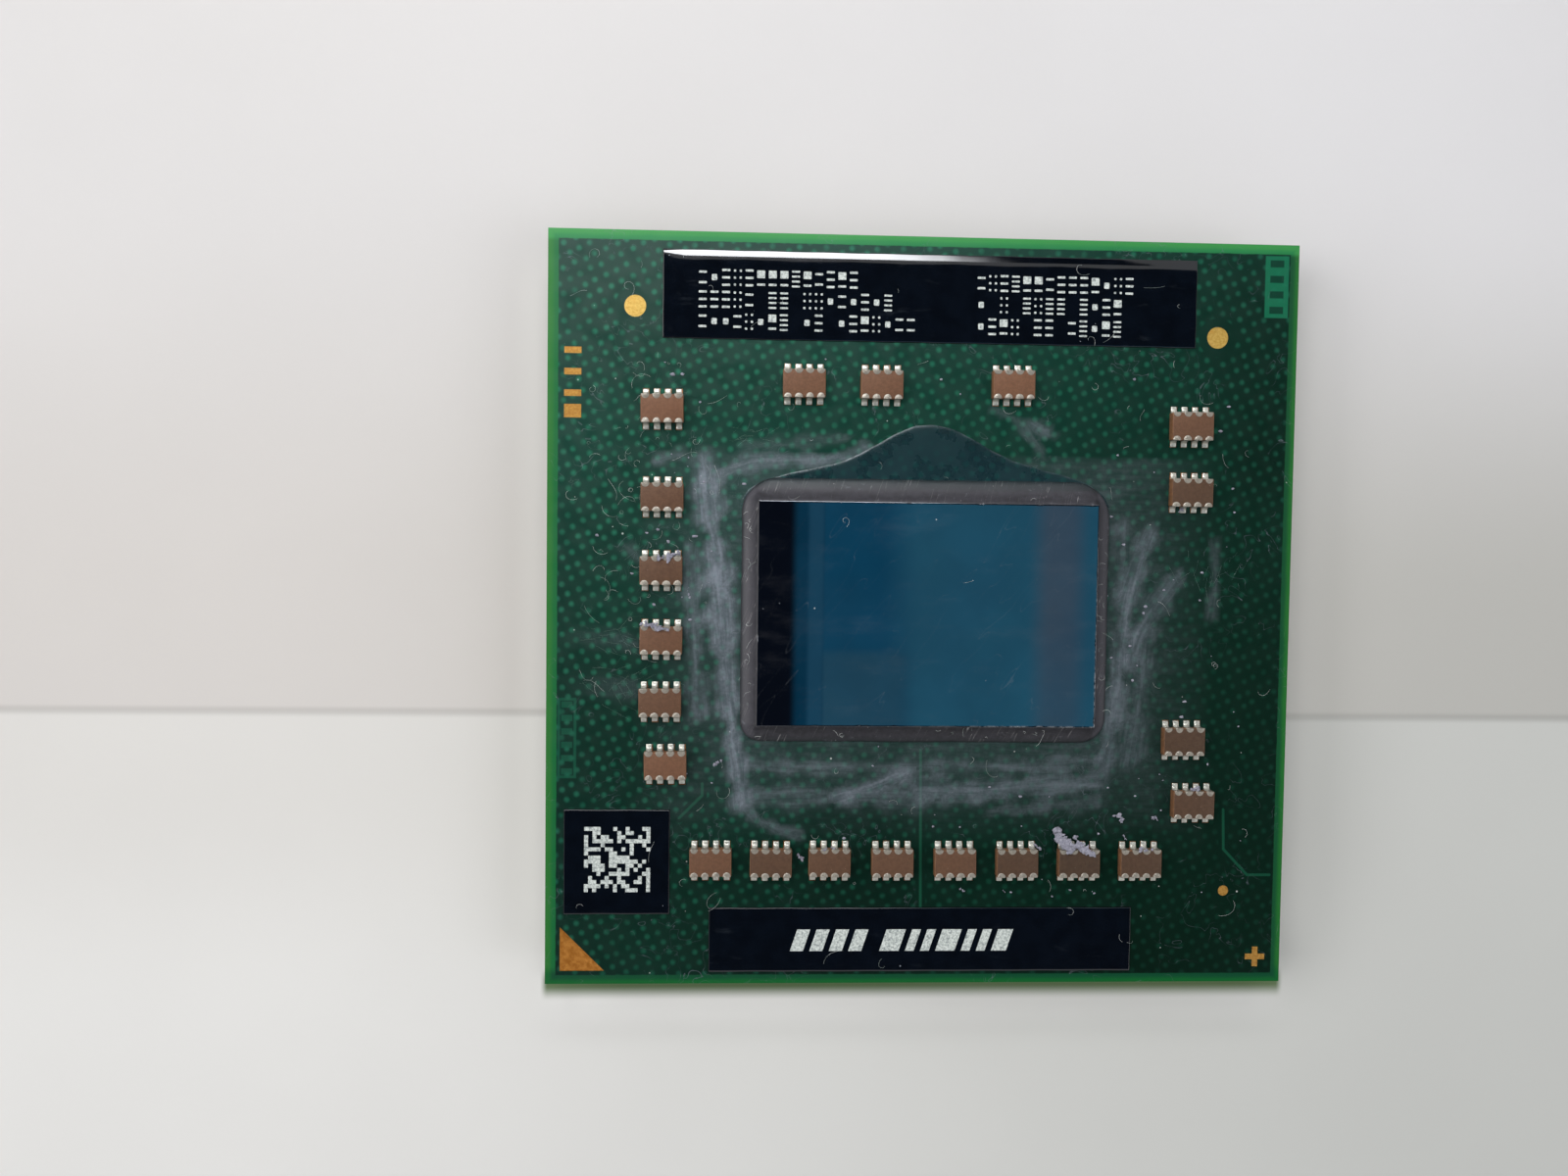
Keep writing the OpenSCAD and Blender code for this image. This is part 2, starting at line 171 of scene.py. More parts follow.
class Material:
    """A node material. Its positions are object coordinates in millimetres."""

    def __init__(self, name):
        self.material = bpy.data.materials.new(name)
        self.material.use_nodes = True
        self.tree = self.material.node_tree
        metres = Signal(add_node(self.tree, "TexCoord", {}).outputs["Object"])
        scaled = add_node(self.tree, "VectorMath", {}, operation="SCALE")
        feed(scaled.inputs[0], metres)
        feed(scaled.inputs[3], 1000.0)
        self.position = Signal(scaled.outputs[0])
        self.xyz = self.position.split()
        self.normal = None

    def noise(self, scale, detail=4.0, rough=0.55, at=None, warp=0.0):
        inputs = {"Vector": at or self.position, "Scale": scale, "Detail": detail,
                  "Roughness": rough, "Distortion": warp}
        return Signal(add_node(self.tree, "TexNoise", inputs).outputs[0])

    def voronoi(self, scale, randomness=1.0, at=None, dimensions="3D"):
        """Distance to the nearest cell point, and the colour of its cell."""
        inputs = {"Vector": at or self.position, "Scale": scale, "Randomness": randomness}
        node = add_node(self.tree, "TexVoronoi", inputs, voronoi_dimensions=dimensions)
        return Signal(node.outputs["Distance"]), Signal(node.outputs["Color"])

    def attribute(self, name):
        return Signal(add_node(self.tree, "Attribute", {}, attribute_name=name).outputs["Fac"])

    def geometry(self, output):
        """The x, y and z of a Geometry node output."""
        return Signal(add_node(self.tree, "NewGeometry", {}).outputs[output]).split()

    def bump(self, height, strength, depth=0.00001):
        """Adds relief over what is there. The depth is in metres."""
        inputs = {"Strength": strength, "Distance": depth, "Height": height, "Normal": self.normal}
        self.normal = Signal(add_node(self.tree, "Bump", inputs).outputs[0])

    def surface(self, color, rough, metal=None, specular=None, coat=None, coat_rough=None):
        shader = self.tree.nodes["Principled BSDF"]
        for key, value in (("Base Color", color), ("Roughness", rough), ("Metallic", metal),
                           ("Specular IOR Level", specular), ("Coat Weight", coat),
                           ("Coat Roughness", coat_rough), ("Normal", self.normal)):
            feed(shader.inputs[key], value)
        return self.material

    def emission(self, color, strength):
        self.tree.nodes.remove(self.tree.nodes["Principled BSDF"])
        node = add_node(self.tree, "Emission", {0: color, 1: strength})
        feed(self.tree.nodes["Material Output"].inputs[0], Signal(node.outputs[0]))
        return self.material


def segment_distance(mat, ax, ay, bx, by):
    """Distance from (x, y) to the segment from a to b."""
    x, y, _ = mat.xyz
    length = math.hypot(bx - ax, by - ay)
    ux, uy = (bx - ax) / length, (by - ay) / length
    dx, dy = x - ax, y - ay
    along = dx * ux + dy * uy
    across = dy * ux - dx * uy
    beyond = (along - length).max(along * -1.0).max(0.0)
    return (beyond * beyond + across * across).sqrt()


def dust(mat, cell, radius, share, shift):
    """Round specks, one in a share of the cells."""
    x, y, z = mat.xyz
    at = vector(x + shift, y + shift * 1.7, z * 0.3)
    distance, color = mat.voronoi(1 / cell, at=at)
    near = distance.step(radius / cell, radius / cell * 0.45)
    channels = add_node(mat.tree, "SeparateColor", {0: color})
    return near * Signal(channels.outputs[0]).less_than(share)


def scratches(mat, seed, density, width, turn):
    """Thin long hair scratches at an angle in radians."""
    x, y, _ = mat.xyz
    cos, sin = math.cos(turn), math.sin(turn)
    along = x * cos + y * sin
    across = y * cos - x * sin
    field = mat.noise(1.0, detail=2, rough=0.5, at=vector(along * 0.12, across * density, seed))
    return abs(field - 0.5).step(width, 0.0)


def plane_holes(mat, randomness):
    """Distance to the holes in the copper plane, a square grid turned by 26.6 degrees."""
    x, y, _ = mat.xyz
    cos, sin = 0.8944, 0.4472
    at = vector(x * cos + y * sin, y * cos - x * sin, 0.0)
    return mat.voronoi(1 / PLANE_HOLE_PITCH, randomness, at, "2D")[0]


def beyond_die(mat):
    """Distance outside the die's edges, negative over the die."""
    x, y, _ = mat.xyz
    return (abs(x - DIE_MID_X) - DIE_HALF_X).max(abs(y) - DIE_HALF_Y)


# ---------------------------------------------------------------- material recipes

def etched_box(mat, x0, x1, y0, y1, bar_count):
    """A box in the copper: distance outside it, its inside, and a column of bars."""
    x, y, _ = mat.xyz
    cx, cy, hx, hy = (x0 + x1) / 2, (y0 + y1) / 2, (x1 - x0) / 2, (y1 - y0) / 2
    outside = (abs(x - cx) - hx).max(abs(y - cy) - hy)
    inside = outside.step(0.03, -0.03)
    gaps = abs(((y - y0) * (bar_count / (2 * hy))).fract() - 0.5).step(0.2, 0.26)
    bars = (1.0 - gaps) * abs(x - cx).step(hx * 0.62, hx * 0.55)
    return outside, inside, bars


def mask_material(name, top=True):
    """Green lacquer over the holed copper plane. The top one has traces and wiped paste."""
    mat = Material(name)
    x, y, _ = mat.xyz
    edge_wobble = (mat.noise(2.5, detail=3) - 0.5) * 0.05
    from_middle = abs(x - 0.034).max(abs(y + 0.02) - 0.02)
    border = (from_middle + edge_wobble).step(17.025, 17.075)
    across = x - y
    # painted shade: the lacquer is painted lighter at the back left and darker towards the front
    # right, as the light falls
    lit_to_shaded = across.step(-30.0, 30.0)
    broad = mat.noise(0.09, detail=3).step(0.35, 0.65)
    color = mix(lit_to_shaded, mix(broad, rgb(3, 44, 34), rgb(5, 52, 41)),
                mix(broad, rgb(4, 23, 15), rgb(6, 30, 21)))

    holes = plane_holes(mat, 0.2).step(0.38, 0.05)
    level = mat.noise(0.9, rough=0.7, at=vector(x, y, 31.0)).step(0.36, 0.62, 0.45, 1.0)
    if top:
        clear = [((x - cx) ** 2.0 + (y - cy) ** 2.0).sqrt().step(radius, radius + 0.12)
                 for cx, cy, radius in SOLID_SPOTS]
        holes = holes * reduce(operator.mul, clear)
        distances = [segment_distance(mat, *a, *b)
                     for line in TRACES for a, b in zip(line, line[1:])]
        trace = reduce(Signal.max, [d.step(0.085, 0.045) for d in distances])
        halo = reduce(Signal.max, [d.step(0.26, 0.2) for d in distances])
        holes = holes * (1.0 - halo)
    # painted shade: the plane holes seen through the lacquer are painted darker towards the front
    # right
    color = mix(holes * (level * 0.85), color, mix(lit_to_shaded, rgb(26, 104, 80), rgb(12, 48, 36)))

    if top:
        color = mix(halo * 0.3, color, rgb(5, 34, 25))
        color = mix(trace * 0.4, color, rgb(26, 92, 68))
        # a filled box with dark bars at the back right, an outlined one at the left edge
        _, inside, bars = etched_box(mat, 15.9, 17.02, 14.1, 16.98, bar_count=4)
        color = mix(inside * 0.8, color, rgb(18, 104, 74))
        color = mix(inside * bars * 0.85, color, rgb(5, 42, 32))
        outside, inside, bars = etched_box(mat, -16.98, -16.1, -7.8, -4.05, bar_count=6)
        ring = inside * outside.step(-0.16, -0.1)
        color = mix(ring.max(inside * bars) * 0.55, color, rgb(14, 84, 62))

    # lighter green border, with its own tone along the back and front: painted lighter along the
    # back and the left and darker along the front and the right as the light falls there, and
    # lighter at its outer rim
    outer_rim = (from_middle + mat.noise(0.8) * 0.12).step(17.2, 17.46)
    rightward, at_back, at_front = x.step(-10.0, 10.0), y.step(16.9, 17.15), y.step(-16.6, -17.1)

    def border_green(left, right, back, front):
        return mix(at_front, mix(at_back, mix(rightward, left, right), back), front)

    inner = border_green(rgb(18, 95, 50), rgb(18, 72, 43), rgb(34, 116, 66), rgb(14, 68, 43))
    outer = border_green(rgb(38, 105, 44), rgb(33, 98, 42), rgb(54, 133, 68), rgb(18, 88, 41))
    color = mix(border, color, mix(outer_rim, inner, outer))
    rough = mat.noise(1.3, detail=5).step(0.3, 0.7, 0.3, 0.42)

    if top:
        paste, along, over = [mat.attribute(key) for key in ("smear", "smear_u", "smear_v")]
        streaks = mat.noise(1.0, detail=6, rough=0.6, at=vector(along * 0.3, over * 3.4, 0.0),
                            warp=0.2)
        clouds = mat.noise(1.1, rough=0.6, at=vector(x, y, 44.0))
        grain = mat.noise(6.0, detail=3, rough=0.6, at=vector(x, y, 14.0))
        texture = (streaks * 0.5 + clouds * 0.3 + grain * 0.2).step(0.37, 0.66)
        paste = paste * (0.56 + texture * 0.44)
        # thin curls left by wiping
        field = mat.noise(0.75, detail=2, rough=0.5, at=vector(x, y, 3.0), warp=1.2)
        patches = mat.noise(0.5, detail=2, rough=0.5, at=vector(x, y, 71.0))
        curls = abs(field - 0.5).step(0.006, 0.0) * patches.step(0.5, 0.62)
        paste = paste.max(curls * 0.4).min(0.86)
        color = mix(paste, color, mix(texture, rgb(90, 97, 107), rgb(120, 127, 138)))
        rough = rough + paste * 0.35
        specks = dust(mat, cell=0.9, radius=0.035, share=0.35, shift=2.0).max(
            dust(mat, cell=2.4, radius=0.06, share=0.4, shift=7.0))
        color = mix(specks * 0.75, color, rgb(188, 192, 190))
    mat.bump(mat.noise(9.0, detail=5), strength=0.10, depth=0.000004)
    mat.bump(mat.noise(0.35, detail=2), strength=0.25, depth=0.00002)
    return mat.surface(color, rough, metal=0.0, specular=across.step(-30.0, 30.0, 0.36, 0.04))


def laminate_material(name, dark, light, fibre=True):
    mat = Material(name)
    x, y, z = mat.xyz
    layers = mat.noise(1.0, rough=0.6, at=vector((x + y) * 0.8, (x - y) * 0.8, z * 14.0))
    color = mix(layers.step(0.32, 0.68), dark, light)
    if fibre:
        weave, _ = mat.voronoi(1.0, 0.6, vector(x * 1.9, y * 1.9, z * 7.0))
        color = mix(weave.step(0.25, 0.6, 0.0, 0.5), color, rgb(198, 190, 140))
        stains = mat.noise(2.2, detail=6).step(0.58, 0.74, 0.0, 0.5)
        color = mix(stains, color, rgb(92, 84, 40))
    mat.bump(layers, strength=0.5, depth=0.00002)
    mat.bump(mat.noise(14.0), strength=0.3)
    return mat.surface(color, layers.step(0.3, 0.7, 0.5, 0.75), metal=0.0, specular=0.4)


def metal_material(name, dark, light, tarnish, rough, scale, bump, metal=1.0, wall_shade=None):
    """Mottled metal. rough is (low, high); the last argument is the colour of painted shade on
    walls near the top face that turn away from the back.
    """
    mat = Material(name)
    x, y, z = mat.xyz
    mottle = mat.noise(scale, detail=5, rough=0.6)
    color = mix(mottle.step(0.3, 0.7), dark, light)
    stains = mat.noise(scale * 0.4, rough=0.6, at=vector(x, y, z + 17.0))
    color = mix(stains.step(0.55, 0.75, 0.0, 0.55), color, tarnish)
    # painted shade: walls near the top face that turn away from the light at the back are darkened
    if wall_shade:
        _, facing_y, facing_z = mat.geometry("Normal")
        wall = facing_z.step(0.93, 0.7) * z.step(Z_TOP - 0.4, Z_TOP - 0.3)
        wall = wall * facing_y.step(0.3, -0.15)
        color = mix(wall * 0.85, color, wall_shade)
    mat.bump(mottle, bump)
    mat.bump(mat.noise(scale * 5, detail=3), bump * 0.6, depth=0.000004)
    return mat.surface(color, mottle.step(0.3, 0.7, *rough), metal)


def ceramic_material(name):
    mat = Material(name)
    tone = mat.attribute("tone")
    mottle = mat.noise(7.0, detail=6, rough=0.65)
    color = mix(mottle.step(0.35, 0.65), mix(tone, rgb(66, 47, 31), rgb(108, 73, 50)),
                mix(tone, rgb(58, 41, 27), rgb(98, 65, 44)))
    # lighter along the edges
    edge = mat.attribute("rim") * mat.noise(5.0).step(0.3, 0.7, 0.35, 0.8)
    color = mix(edge, color, rgb(140, 98, 66))
    pale = dust(mat, cell=0.24, radius=0.016, share=0.3, shift=4.0)
    color = mix(pale * 0.5, color, rgb(196, 176, 164))
    dark = dust(mat, cell=0.3, radius=0.02, share=0.2, shift=14.0)
    color = mix(dark * 0.45, color, rgb(58, 36, 30))
    mat.bump(mottle, strength=0.45)
    mat.bump(mat.noise(40.0, detail=3), strength=0.4, depth=0.000004)
    return mat.surface(color, mottle.step(0.3, 0.7, 0.5, 0.68), metal=0.0, specular=0.4)


def ink_material(name):
    mat = Material(name)
    x, y, _ = mat.xyz
    mottle = mat.noise(1.2, detail=5)
    color = mix(mottle.step(0.3, 0.7), rgb(5, 8, 14), rgb(7, 12, 20))
    specks = dust(mat, cell=0.8, radius=0.026, share=0.3, shift=5.0).max(
        dust(mat, cell=2.2, radius=0.045, share=0.3, shift=1.0))
    color = mix(specks * 0.8, color, rgb(150, 160, 170))
    haze = mat.noise(0.8, detail=6, rough=0.65, at=vector(x * 0.6, y * 2.2, 3.0))
    color = mix(haze.step(0.6, 0.85) * 0.10, color, rgb(120, 132, 145))
    rough = mottle.step(0.3, 0.7, 0.05, 0.08) + specks * 0.5
    mat.bump(mat.noise(0.9, detail=3), strength=0.12)
    mat.bump(mat.noise(7.0, detail=3), strength=0.10, depth=0.000002)
    return mat.surface(color, rough, metal=0.0, specular=0.8, coat=0.6, coat_rough=0.04)


def mark_material(name):
    mat = Material(name)
    wear = mat.noise(11.0, detail=6, rough=0.7)
    color = mix(wear.step(0.34, 0.62), rgb(142, 150, 148), rgb(204, 210, 206))
    pits = mat.voronoi(9.0)[0].step(0.62, 0.85, 0.0, 0.5)
    color = mix(pits, color, rgb(70, 80, 88))
    mat.bump(wear, strength=0.5, depth=0.000005)
    return mat.surface(color, 0.7, metal=0.0, specular=0.3)


def die_material(name):
    """A mirror on top and sawn silicon on the sides."""
    mat = Material(name)
    x, y, z = mat.xyz
    top = z.step(DIE_HI.z - 0.012, DIE_HI.z - 0.003)
    face = mix(mat.noise(0.35, detail=3).step(0.3, 0.7), rgb(158, 160, 166), rgb(166, 170, 176))
    saw = mat.noise(1.0, detail=5, rough=0.6, at=vector(x * 3.0, y * 3.0, z * 26.0))
    side = mix(saw.step(0.35, 0.65), rgb(66, 66, 72), rgb(104, 104, 112))
    color = mix(top, side, face)
    # wiped paste film, specks and hair scratches on the mirror
    right_front = (x - y).step(3.0, 11.0)
    rim = beyond_die(mat).step(-0.1, 0.0) * right_front
    rim = rim * mat.noise(3.0, detail=5, rough=0.7).step(0.46, 0.6)
    film = mat.noise(0.5, detail=6, rough=0.65, at=vector(x * 0.5, y * 1.6, 12.0))
    film = film.step(0.5, 0.8) * 0.025
    specks = dust(mat, cell=0.8, radius=0.045, share=0.15, shift=6.0).max(
        dust(mat, cell=2.2, radius=0.07, share=0.3, shift=3.0))
    hairs = scratches(mat, seed=21.0, density=0.7, width=0.0016, turn=0.9) * 0.05
    dirt = (specks * 0.85).max(film).max(hairs.max(rim * 0.35)) * top
    color = mix(dirt, color, rgb(150, 158, 164))
    metal = (1.0 - (dirt * 1.3).min(1.0)) * (top * 0.75 + 0.25)
    rough = (1.0 - top) * 0.42 + (0.028 + dirt * 0.45)
    mat.bump(saw * (1.0 - top), strength=0.5)
    mat.bump(mat.noise(0.16, detail=1), strength=0.05, depth=0.00002)
    return mat.surface(color, rough, metal, specular=0.5)


def underfill_material(name):
    mat = Material(name)
    x, y, _ = mat.xyz
    mottle = mat.noise(3.5, detail=6, rough=0.6)
    color = mix(mottle.step(0.3, 0.7), rgb(37, 36, 41), rgb(51, 50, 56))
    # painted light: the left and right runs of the resin are painted lighter, as lit sides
    sides = abs(x - DIE_MID_X).step(7.9, 8.1)
    back = y.step(5.75, 6.2)
    color = mix(sides * 0.6, color, rgb(66, 65, 72))
    color = mix(back * 0.75, color, rgb(20, 36, 40))
    toe = beyond_die(mat).step(0.5, 0.75)
    color = mix(toe * 0.5, color, rgb(28, 34, 36))
    stains = mat.noise(2.6, detail=6, rough=0.68, at=vector(x, y, 51.0), warp=0.4)
    stains = stains.step(0.6, 0.74, 0.0, 0.45)
    color = mix(stains, color, rgb(112, 114, 122))
    specks = dust(mat, cell=0.35, radius=0.024, share=0.4, shift=3.0).max(
        dust(mat, cell=0.8, radius=0.042, share=0.4, shift=9.0))
    patches = mat.noise(1.7, detail=2, rough=0.5, at=vector(x, y, 8.0)).step(0.45, 0.6, 0.0, 0.5)
    hairs = scratches(mat, seed=9.0, density=3.4, width=0.006, turn=1.2) * patches
    color = mix((specks * 0.8).max(hairs), color, rgb(176, 174, 174))
    mat.bump(mottle, strength=0.35)
    mat.bump(mat.noise(1.1, detail=3), strength=0.4, depth=0.00003)
    rough = mottle.step(0.3, 0.7, 0.4, 0.52) + stains * 0.3
    return mat.surface(color, rough, metal=0.0, specular=0.4)


def film_material(name):
    """Thin resin with the plane holes showing through and a smeared rim at the left."""
    mat = Material(name)
    x, y, _ = mat.xyz
    mottle = mat.noise(0.8)
    color = mix(mottle.step(0.3, 0.7), rgb(11, 34, 38), rgb(15, 41, 45))
    holes = plane_holes(mat, 0.17).step(0.36, 0.12) * y.step(8.2, 6.4, 0.1, 0.45)
    color = mix(holes, color, rgb(16, 66, 62))
    patches = mat.noise(2.4, detail=5, rough=0.65).step(0.42, 0.66)
    smear = mat.attribute("rim").step(0.25, 0.95) * patches
    left = x.step(0.0, -3.0, 0.2, 0.8)
    color = mix(smear * left * 0.9, color, rgb(128, 136, 142))
    mat.bump(mottle, strength=0.3)
    mat.bump(mat.noise(14.0), strength=0.1, depth=0.000004)
    return mat.surface(color, mottle.step(0.3, 0.7, 0.24, 0.32), metal=0.0, specular=0.5)


def paste_material(name):
    mat = Material(name)
    mottle = mat.noise(8.0, detail=6, rough=0.7)
    color = mix(mottle.step(0.3, 0.7), rgb(116, 116, 130), rgb(156, 155, 168))
    mat.bump(mottle, strength=0.7, depth=0.00002)
    return mat.surface(color, mottle.step(0.3, 0.7, 0.6, 0.8), metal=0.0, specular=0.35)


def lint_material(name, dark, light):
    mat = Material(name)
    color = mix(mat.noise(2.0, detail=3).step(0.4, 0.6), dark, light)
    mat.bump(mat.noise(60.0, detail=3), strength=0.3, depth=0.000002)
    return mat.surface(color, 0.6, metal=0.0, specular=0.4)


LOOK = {
    "mask_top": mask_material("mask_top"),
    "mask_bottom": mask_material("mask_bottom", top=False),
    "core": laminate_material("core_laminate", rgb(116, 120, 58), rgb(150, 148, 84)),
    "buildup": laminate_material("buildup_resin", rgb(70, 128, 62), rgb(92, 150, 78),
                                 fibre=False),
    "copper": metal_material("bare_copper", rgb(178, 112, 70), rgb(206, 140, 96),
                             tarnish=rgb(110, 66, 44), rough=(0.3, 0.45), scale=4.0, bump=0.25),
    "gold": metal_material("gold_pad", rgb(184, 144, 62), rgb(206, 172, 92),
                           tarnish=rgb(196, 140, 44), rough=(0.34, 0.5), scale=9.0, bump=0.55,
                           metal=0.5),
    "gold_dim": metal_material("gold_mark", rgb(160, 112, 42), rgb(184, 138, 64),
                               tarnish=rgb(150, 96, 44), rough=(0.34, 0.5), scale=9.0, bump=0.4,
                               metal=0.5),
    "triangle": metal_material("gold_triangle", rgb(164, 100, 30), rgb(186, 124, 50),
                               tarnish=rgb(128, 78, 26), rough=(0.3, 0.5), scale=5.0, bump=0.5,
                               metal=0.5),
    "pin": metal_material("gold_pin", rgb(222, 186, 106), rgb(240, 210, 140),
                          tarnish=rgb(196, 150, 80), rough=(0.14, 0.28), scale=5.0, bump=0.15),
    # the last colour of the solder and of the tin is painted shade on their walls
    "solder": metal_material("solder", rgb(184, 183, 174), rgb(212, 210, 200),
                             tarnish=rgb(186, 184, 174), rough=(0.3, 0.45), scale=8.0, bump=0.3,
                             metal=0.5, wall_shade=rgb(172, 168, 156)),
    "tin": metal_material("tinned_terminal", rgb(140, 134, 123), rgb(162, 155, 144),
                          tarnish=rgb(148, 143, 134), rough=(0.34, 0.5), scale=12.0, bump=0.22,
                          metal=0.45, wall_shade=rgb(92, 84, 76)),
    "ceramic": ceramic_material("capacitor_ceramic"),
    "ink": ink_material("marking_ink"),
    "mark": mark_material("marking_ink_marks"),
    "die": die_material("polished_silicon"),
    "underfill": underfill_material("underfill_epoxy"),
    "film": film_material("underfill_film"),
    "paste": paste_material("dried_paste"),
    "lint": lint_material("lint", rgb(128, 140, 136), rgb(196, 200, 198)),
    "scuff": lint_material("scuff", rgb(58, 92, 80), rgb(112, 138, 130)),
}

# ---------------------------------------------------------------- CAD pieces that stay

CAD_LOOK = {
    "substrate_core": "core", "core_vias": "copper", "lower_copper_plane": "copper",
    "upper_copper_plane": "copper", "bottom_buildup_layer": "buildup",
    "top_buildup_layer": "buildup", "perforated_top_plane": "copper", "routed_traces": "copper",
    "bottom_solder_mask": "mask_bottom", "die_circuit_layers": "copper",
    "flip_chip_bumps": "solder", "left_fiducial_pad": "gold", "right_fiducial_pad": "gold",
    "gold_test_dot": "gold_dim", "pin_one_triangle": "triangle", "edge_index_bars": "gold_dim",
    "corner_index_cross": "gold_dim",
}
for name, node in NODES.items():
    look = CAD_LOOK.get(name)
    if name.endswith("capacitor_lands"):
        look = "copper"
    elif name.endswith("pin_lands"):
        look = "gold"
    if look:
        node.data.materials.clear()
        node.data.materials.append(LOOK[look])

SOFT_EDGES = {
    "left_fiducial_pad": 0.02, "right_fiducial_pad": 0.02, "gold_test_dot": 0.015,
    "edge_index_bars": 0.012, "corner_index_cross": 0.012, "pin_one_triangle": 0.015,
    "substrate_core": 0.02,
}
for name, width in SOFT_EDGES.items():
    bevel = NODES[name].modifiers.new("soft_edges", "BEVEL")
    bevel.width = width * MM
    bevel.segments = 2
    bevel.limit_method = "ANGLE"
    bevel.angle_limit = math.radians(50)


# ---------------------------------------------------------------- mesh helpers

def add_piece(name, verts, faces, look, slot=None, replaces=None, smooth=True, sharp=None,
              attributes=None):
    """An object from vertices in mm. Edges over sharp degrees stay hard."""
    mesh = bpy.data.meshes.new(name)
    mesh.from_pydata((np.asarray(verts, float) * MM).tolist(), [], faces)
    for key, values in (attributes or {}).items():
        layer = mesh.attributes.new(key, "FLOAT", "POINT")
        layer.data.foreach_set("value", np.asarray(values, np.float32))
    mesh.validate()
    bm = bmesh.new()
    bm.from_mesh(mesh)
    bmesh.ops.recalc_face_normals(bm, faces=bm.faces)
    bm.to_mesh(mesh)
    bm.free()
    for polygon in mesh.polygons:
        polygon.use_smooth = smooth
    if smooth and sharp:
        mesh.set_sharp_from_angle(angle=math.radians(sharp))
    mesh.materials.append(LOOK[look])
    piece = bpy.data.objects.new(name, mesh)
    bpy.context.scene.collection.objects.link(piece)
    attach(piece, "root")
    if replaces:
        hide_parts(replaces)
    return piece


def take_arrays(bm):
    """Vertices and faces of a bmesh, which is freed."""
    bm.verts.ensure_lookup_table()
    verts = np.array([vert.co[:] for vert in bm.verts], float)
    faces = [[vert.index for vert in face.verts] for face in bm.faces]
    bm.free()
    return verts, faces


def icosphere(subdivisions):
    bm = bmesh.new()
    bmesh.ops.create_icosphere(bm, subdivisions=subdivisions, radius=1.0)
    return take_arrays(bm)


def rounded_box(size_x, size_y, size_z, radius, segments):
    bm = bmesh.new()
    bmesh.ops.create_cube(bm, size=1.0)
    for vert in bm.verts:
        vert.co.x *= size_x
        vert.co.y *= size_y
        vert.co.z *= size_z
    bmesh.ops.bevel(bm, geom=bm.edges[:], offset=radius, segments=segments, profile=0.5,
                    affect="EDGES")
    bm.verts.index_update()
    return take_arrays(bm)


def revolve(profile, sides):
    """Closed solid of revolution round z from [(radius, z)] with both ends on the axis."""
    verts, faces, rings = [], [], []
    for radius, z in profile:
        if radius < 1e-9:
            rings.append([len(verts)])
            verts.append((0, 0, z))
        else:
            rings.append(list(range(len(verts), len(verts) + sides)))
            verts += [(radius * math.cos(2 * math.pi * i / sides),
                       radius * math.sin(2 * math.pi * i / sides), z) for i in range(sides)]
    for low, high in zip(rings, rings[1:]):
        for i in range(sides):
            j = (i + 1) % sides
            if len(low) == 1:
                faces.append([low[0], high[i], high[j]])
            elif len(high) == 1:
                faces.append([low[i], low[j], high[0]])
            else:
                faces.append([low[i], low[j], high[j], high[i]])
    return np.array(verts, float), faces


def place(verts, x, y, turn):
    """Turns the vertices by degrees round z, then moves them to (x, y)."""
    cos, sin = math.cos(math.radians(turn)), math.sin(math.radians(turn))
    placed = verts.copy()
    placed[:, 0] = verts[:, 0] * cos - verts[:, 1] * sin + x
    placed[:, 1] = verts[:, 0] * sin + verts[:, 1] * cos + y
    return placed


def join(parts):
    all_verts, all_faces, base = [], [], 0
    for verts, faces in parts:
        all_verts.append(verts)
        all_faces += [[i + base for i in face] for face in faces]
        base += len(verts)
    return np.vstack(all_verts), all_faces


def copies(prototype, places):
    """The prototype at each place (x, y, turn in degrees)."""
    verts, faces = prototype
    return join([(place(verts, *spot), faces) for spot in places])


def grid_faces(rows, columns, wrap=False):
    faces = []
    for i in range(rows if wrap else rows - 1):
        for j in range(columns - 1):
            a, b = i * columns + j, ((i + 1) % rows) * columns + j
            faces.append([a, b, b + 1, a + 1])
    return faces


def close_sheet(sheet, rows, columns, floor_z):
    """A solid between a grid of top vertices and its flat copy at floor_z."""
    top = np.array(sheet, float)
    bottom = top.copy()
    bottom[:, 2] = floor_z
    base = rows * columns
    faces = grid_faces(rows, columns)
    faces += [[i + base for i in reversed(face)] for face in grid_faces(rows, columns)]
    for i in range(rows - 1):
        for j in (0, columns - 1):
            a, b = i * columns + j, (i + 1) * columns + j
            faces.append([a, b, b + base, a + base])
    for j in range(columns - 1):
        for i in (0, rows - 1):
            a = i * columns + j
            faces.append([a, a + 1, a + 1 + base, a + base])
    return np.vstack([top, bottom]), faces


def wave(t, seed, amplitude, lo, hi, terms=9):
    """A smooth irregular closed curve for t in 0..1, with frequencies from lo to hi."""
    dice = np.random.default_rng(seed)
    total = np.zeros_like(t, float)
    for _ in range(terms):
        k = dice.integers(lo, hi)
        total += dice.normal() * np.sin(2 * math.pi * (k * t + dice.random())) / math.sqrt(k)
    return total * amplitude / math.sqrt(terms)


# ---------------------------------------------------------------- solder mask with wiped paste

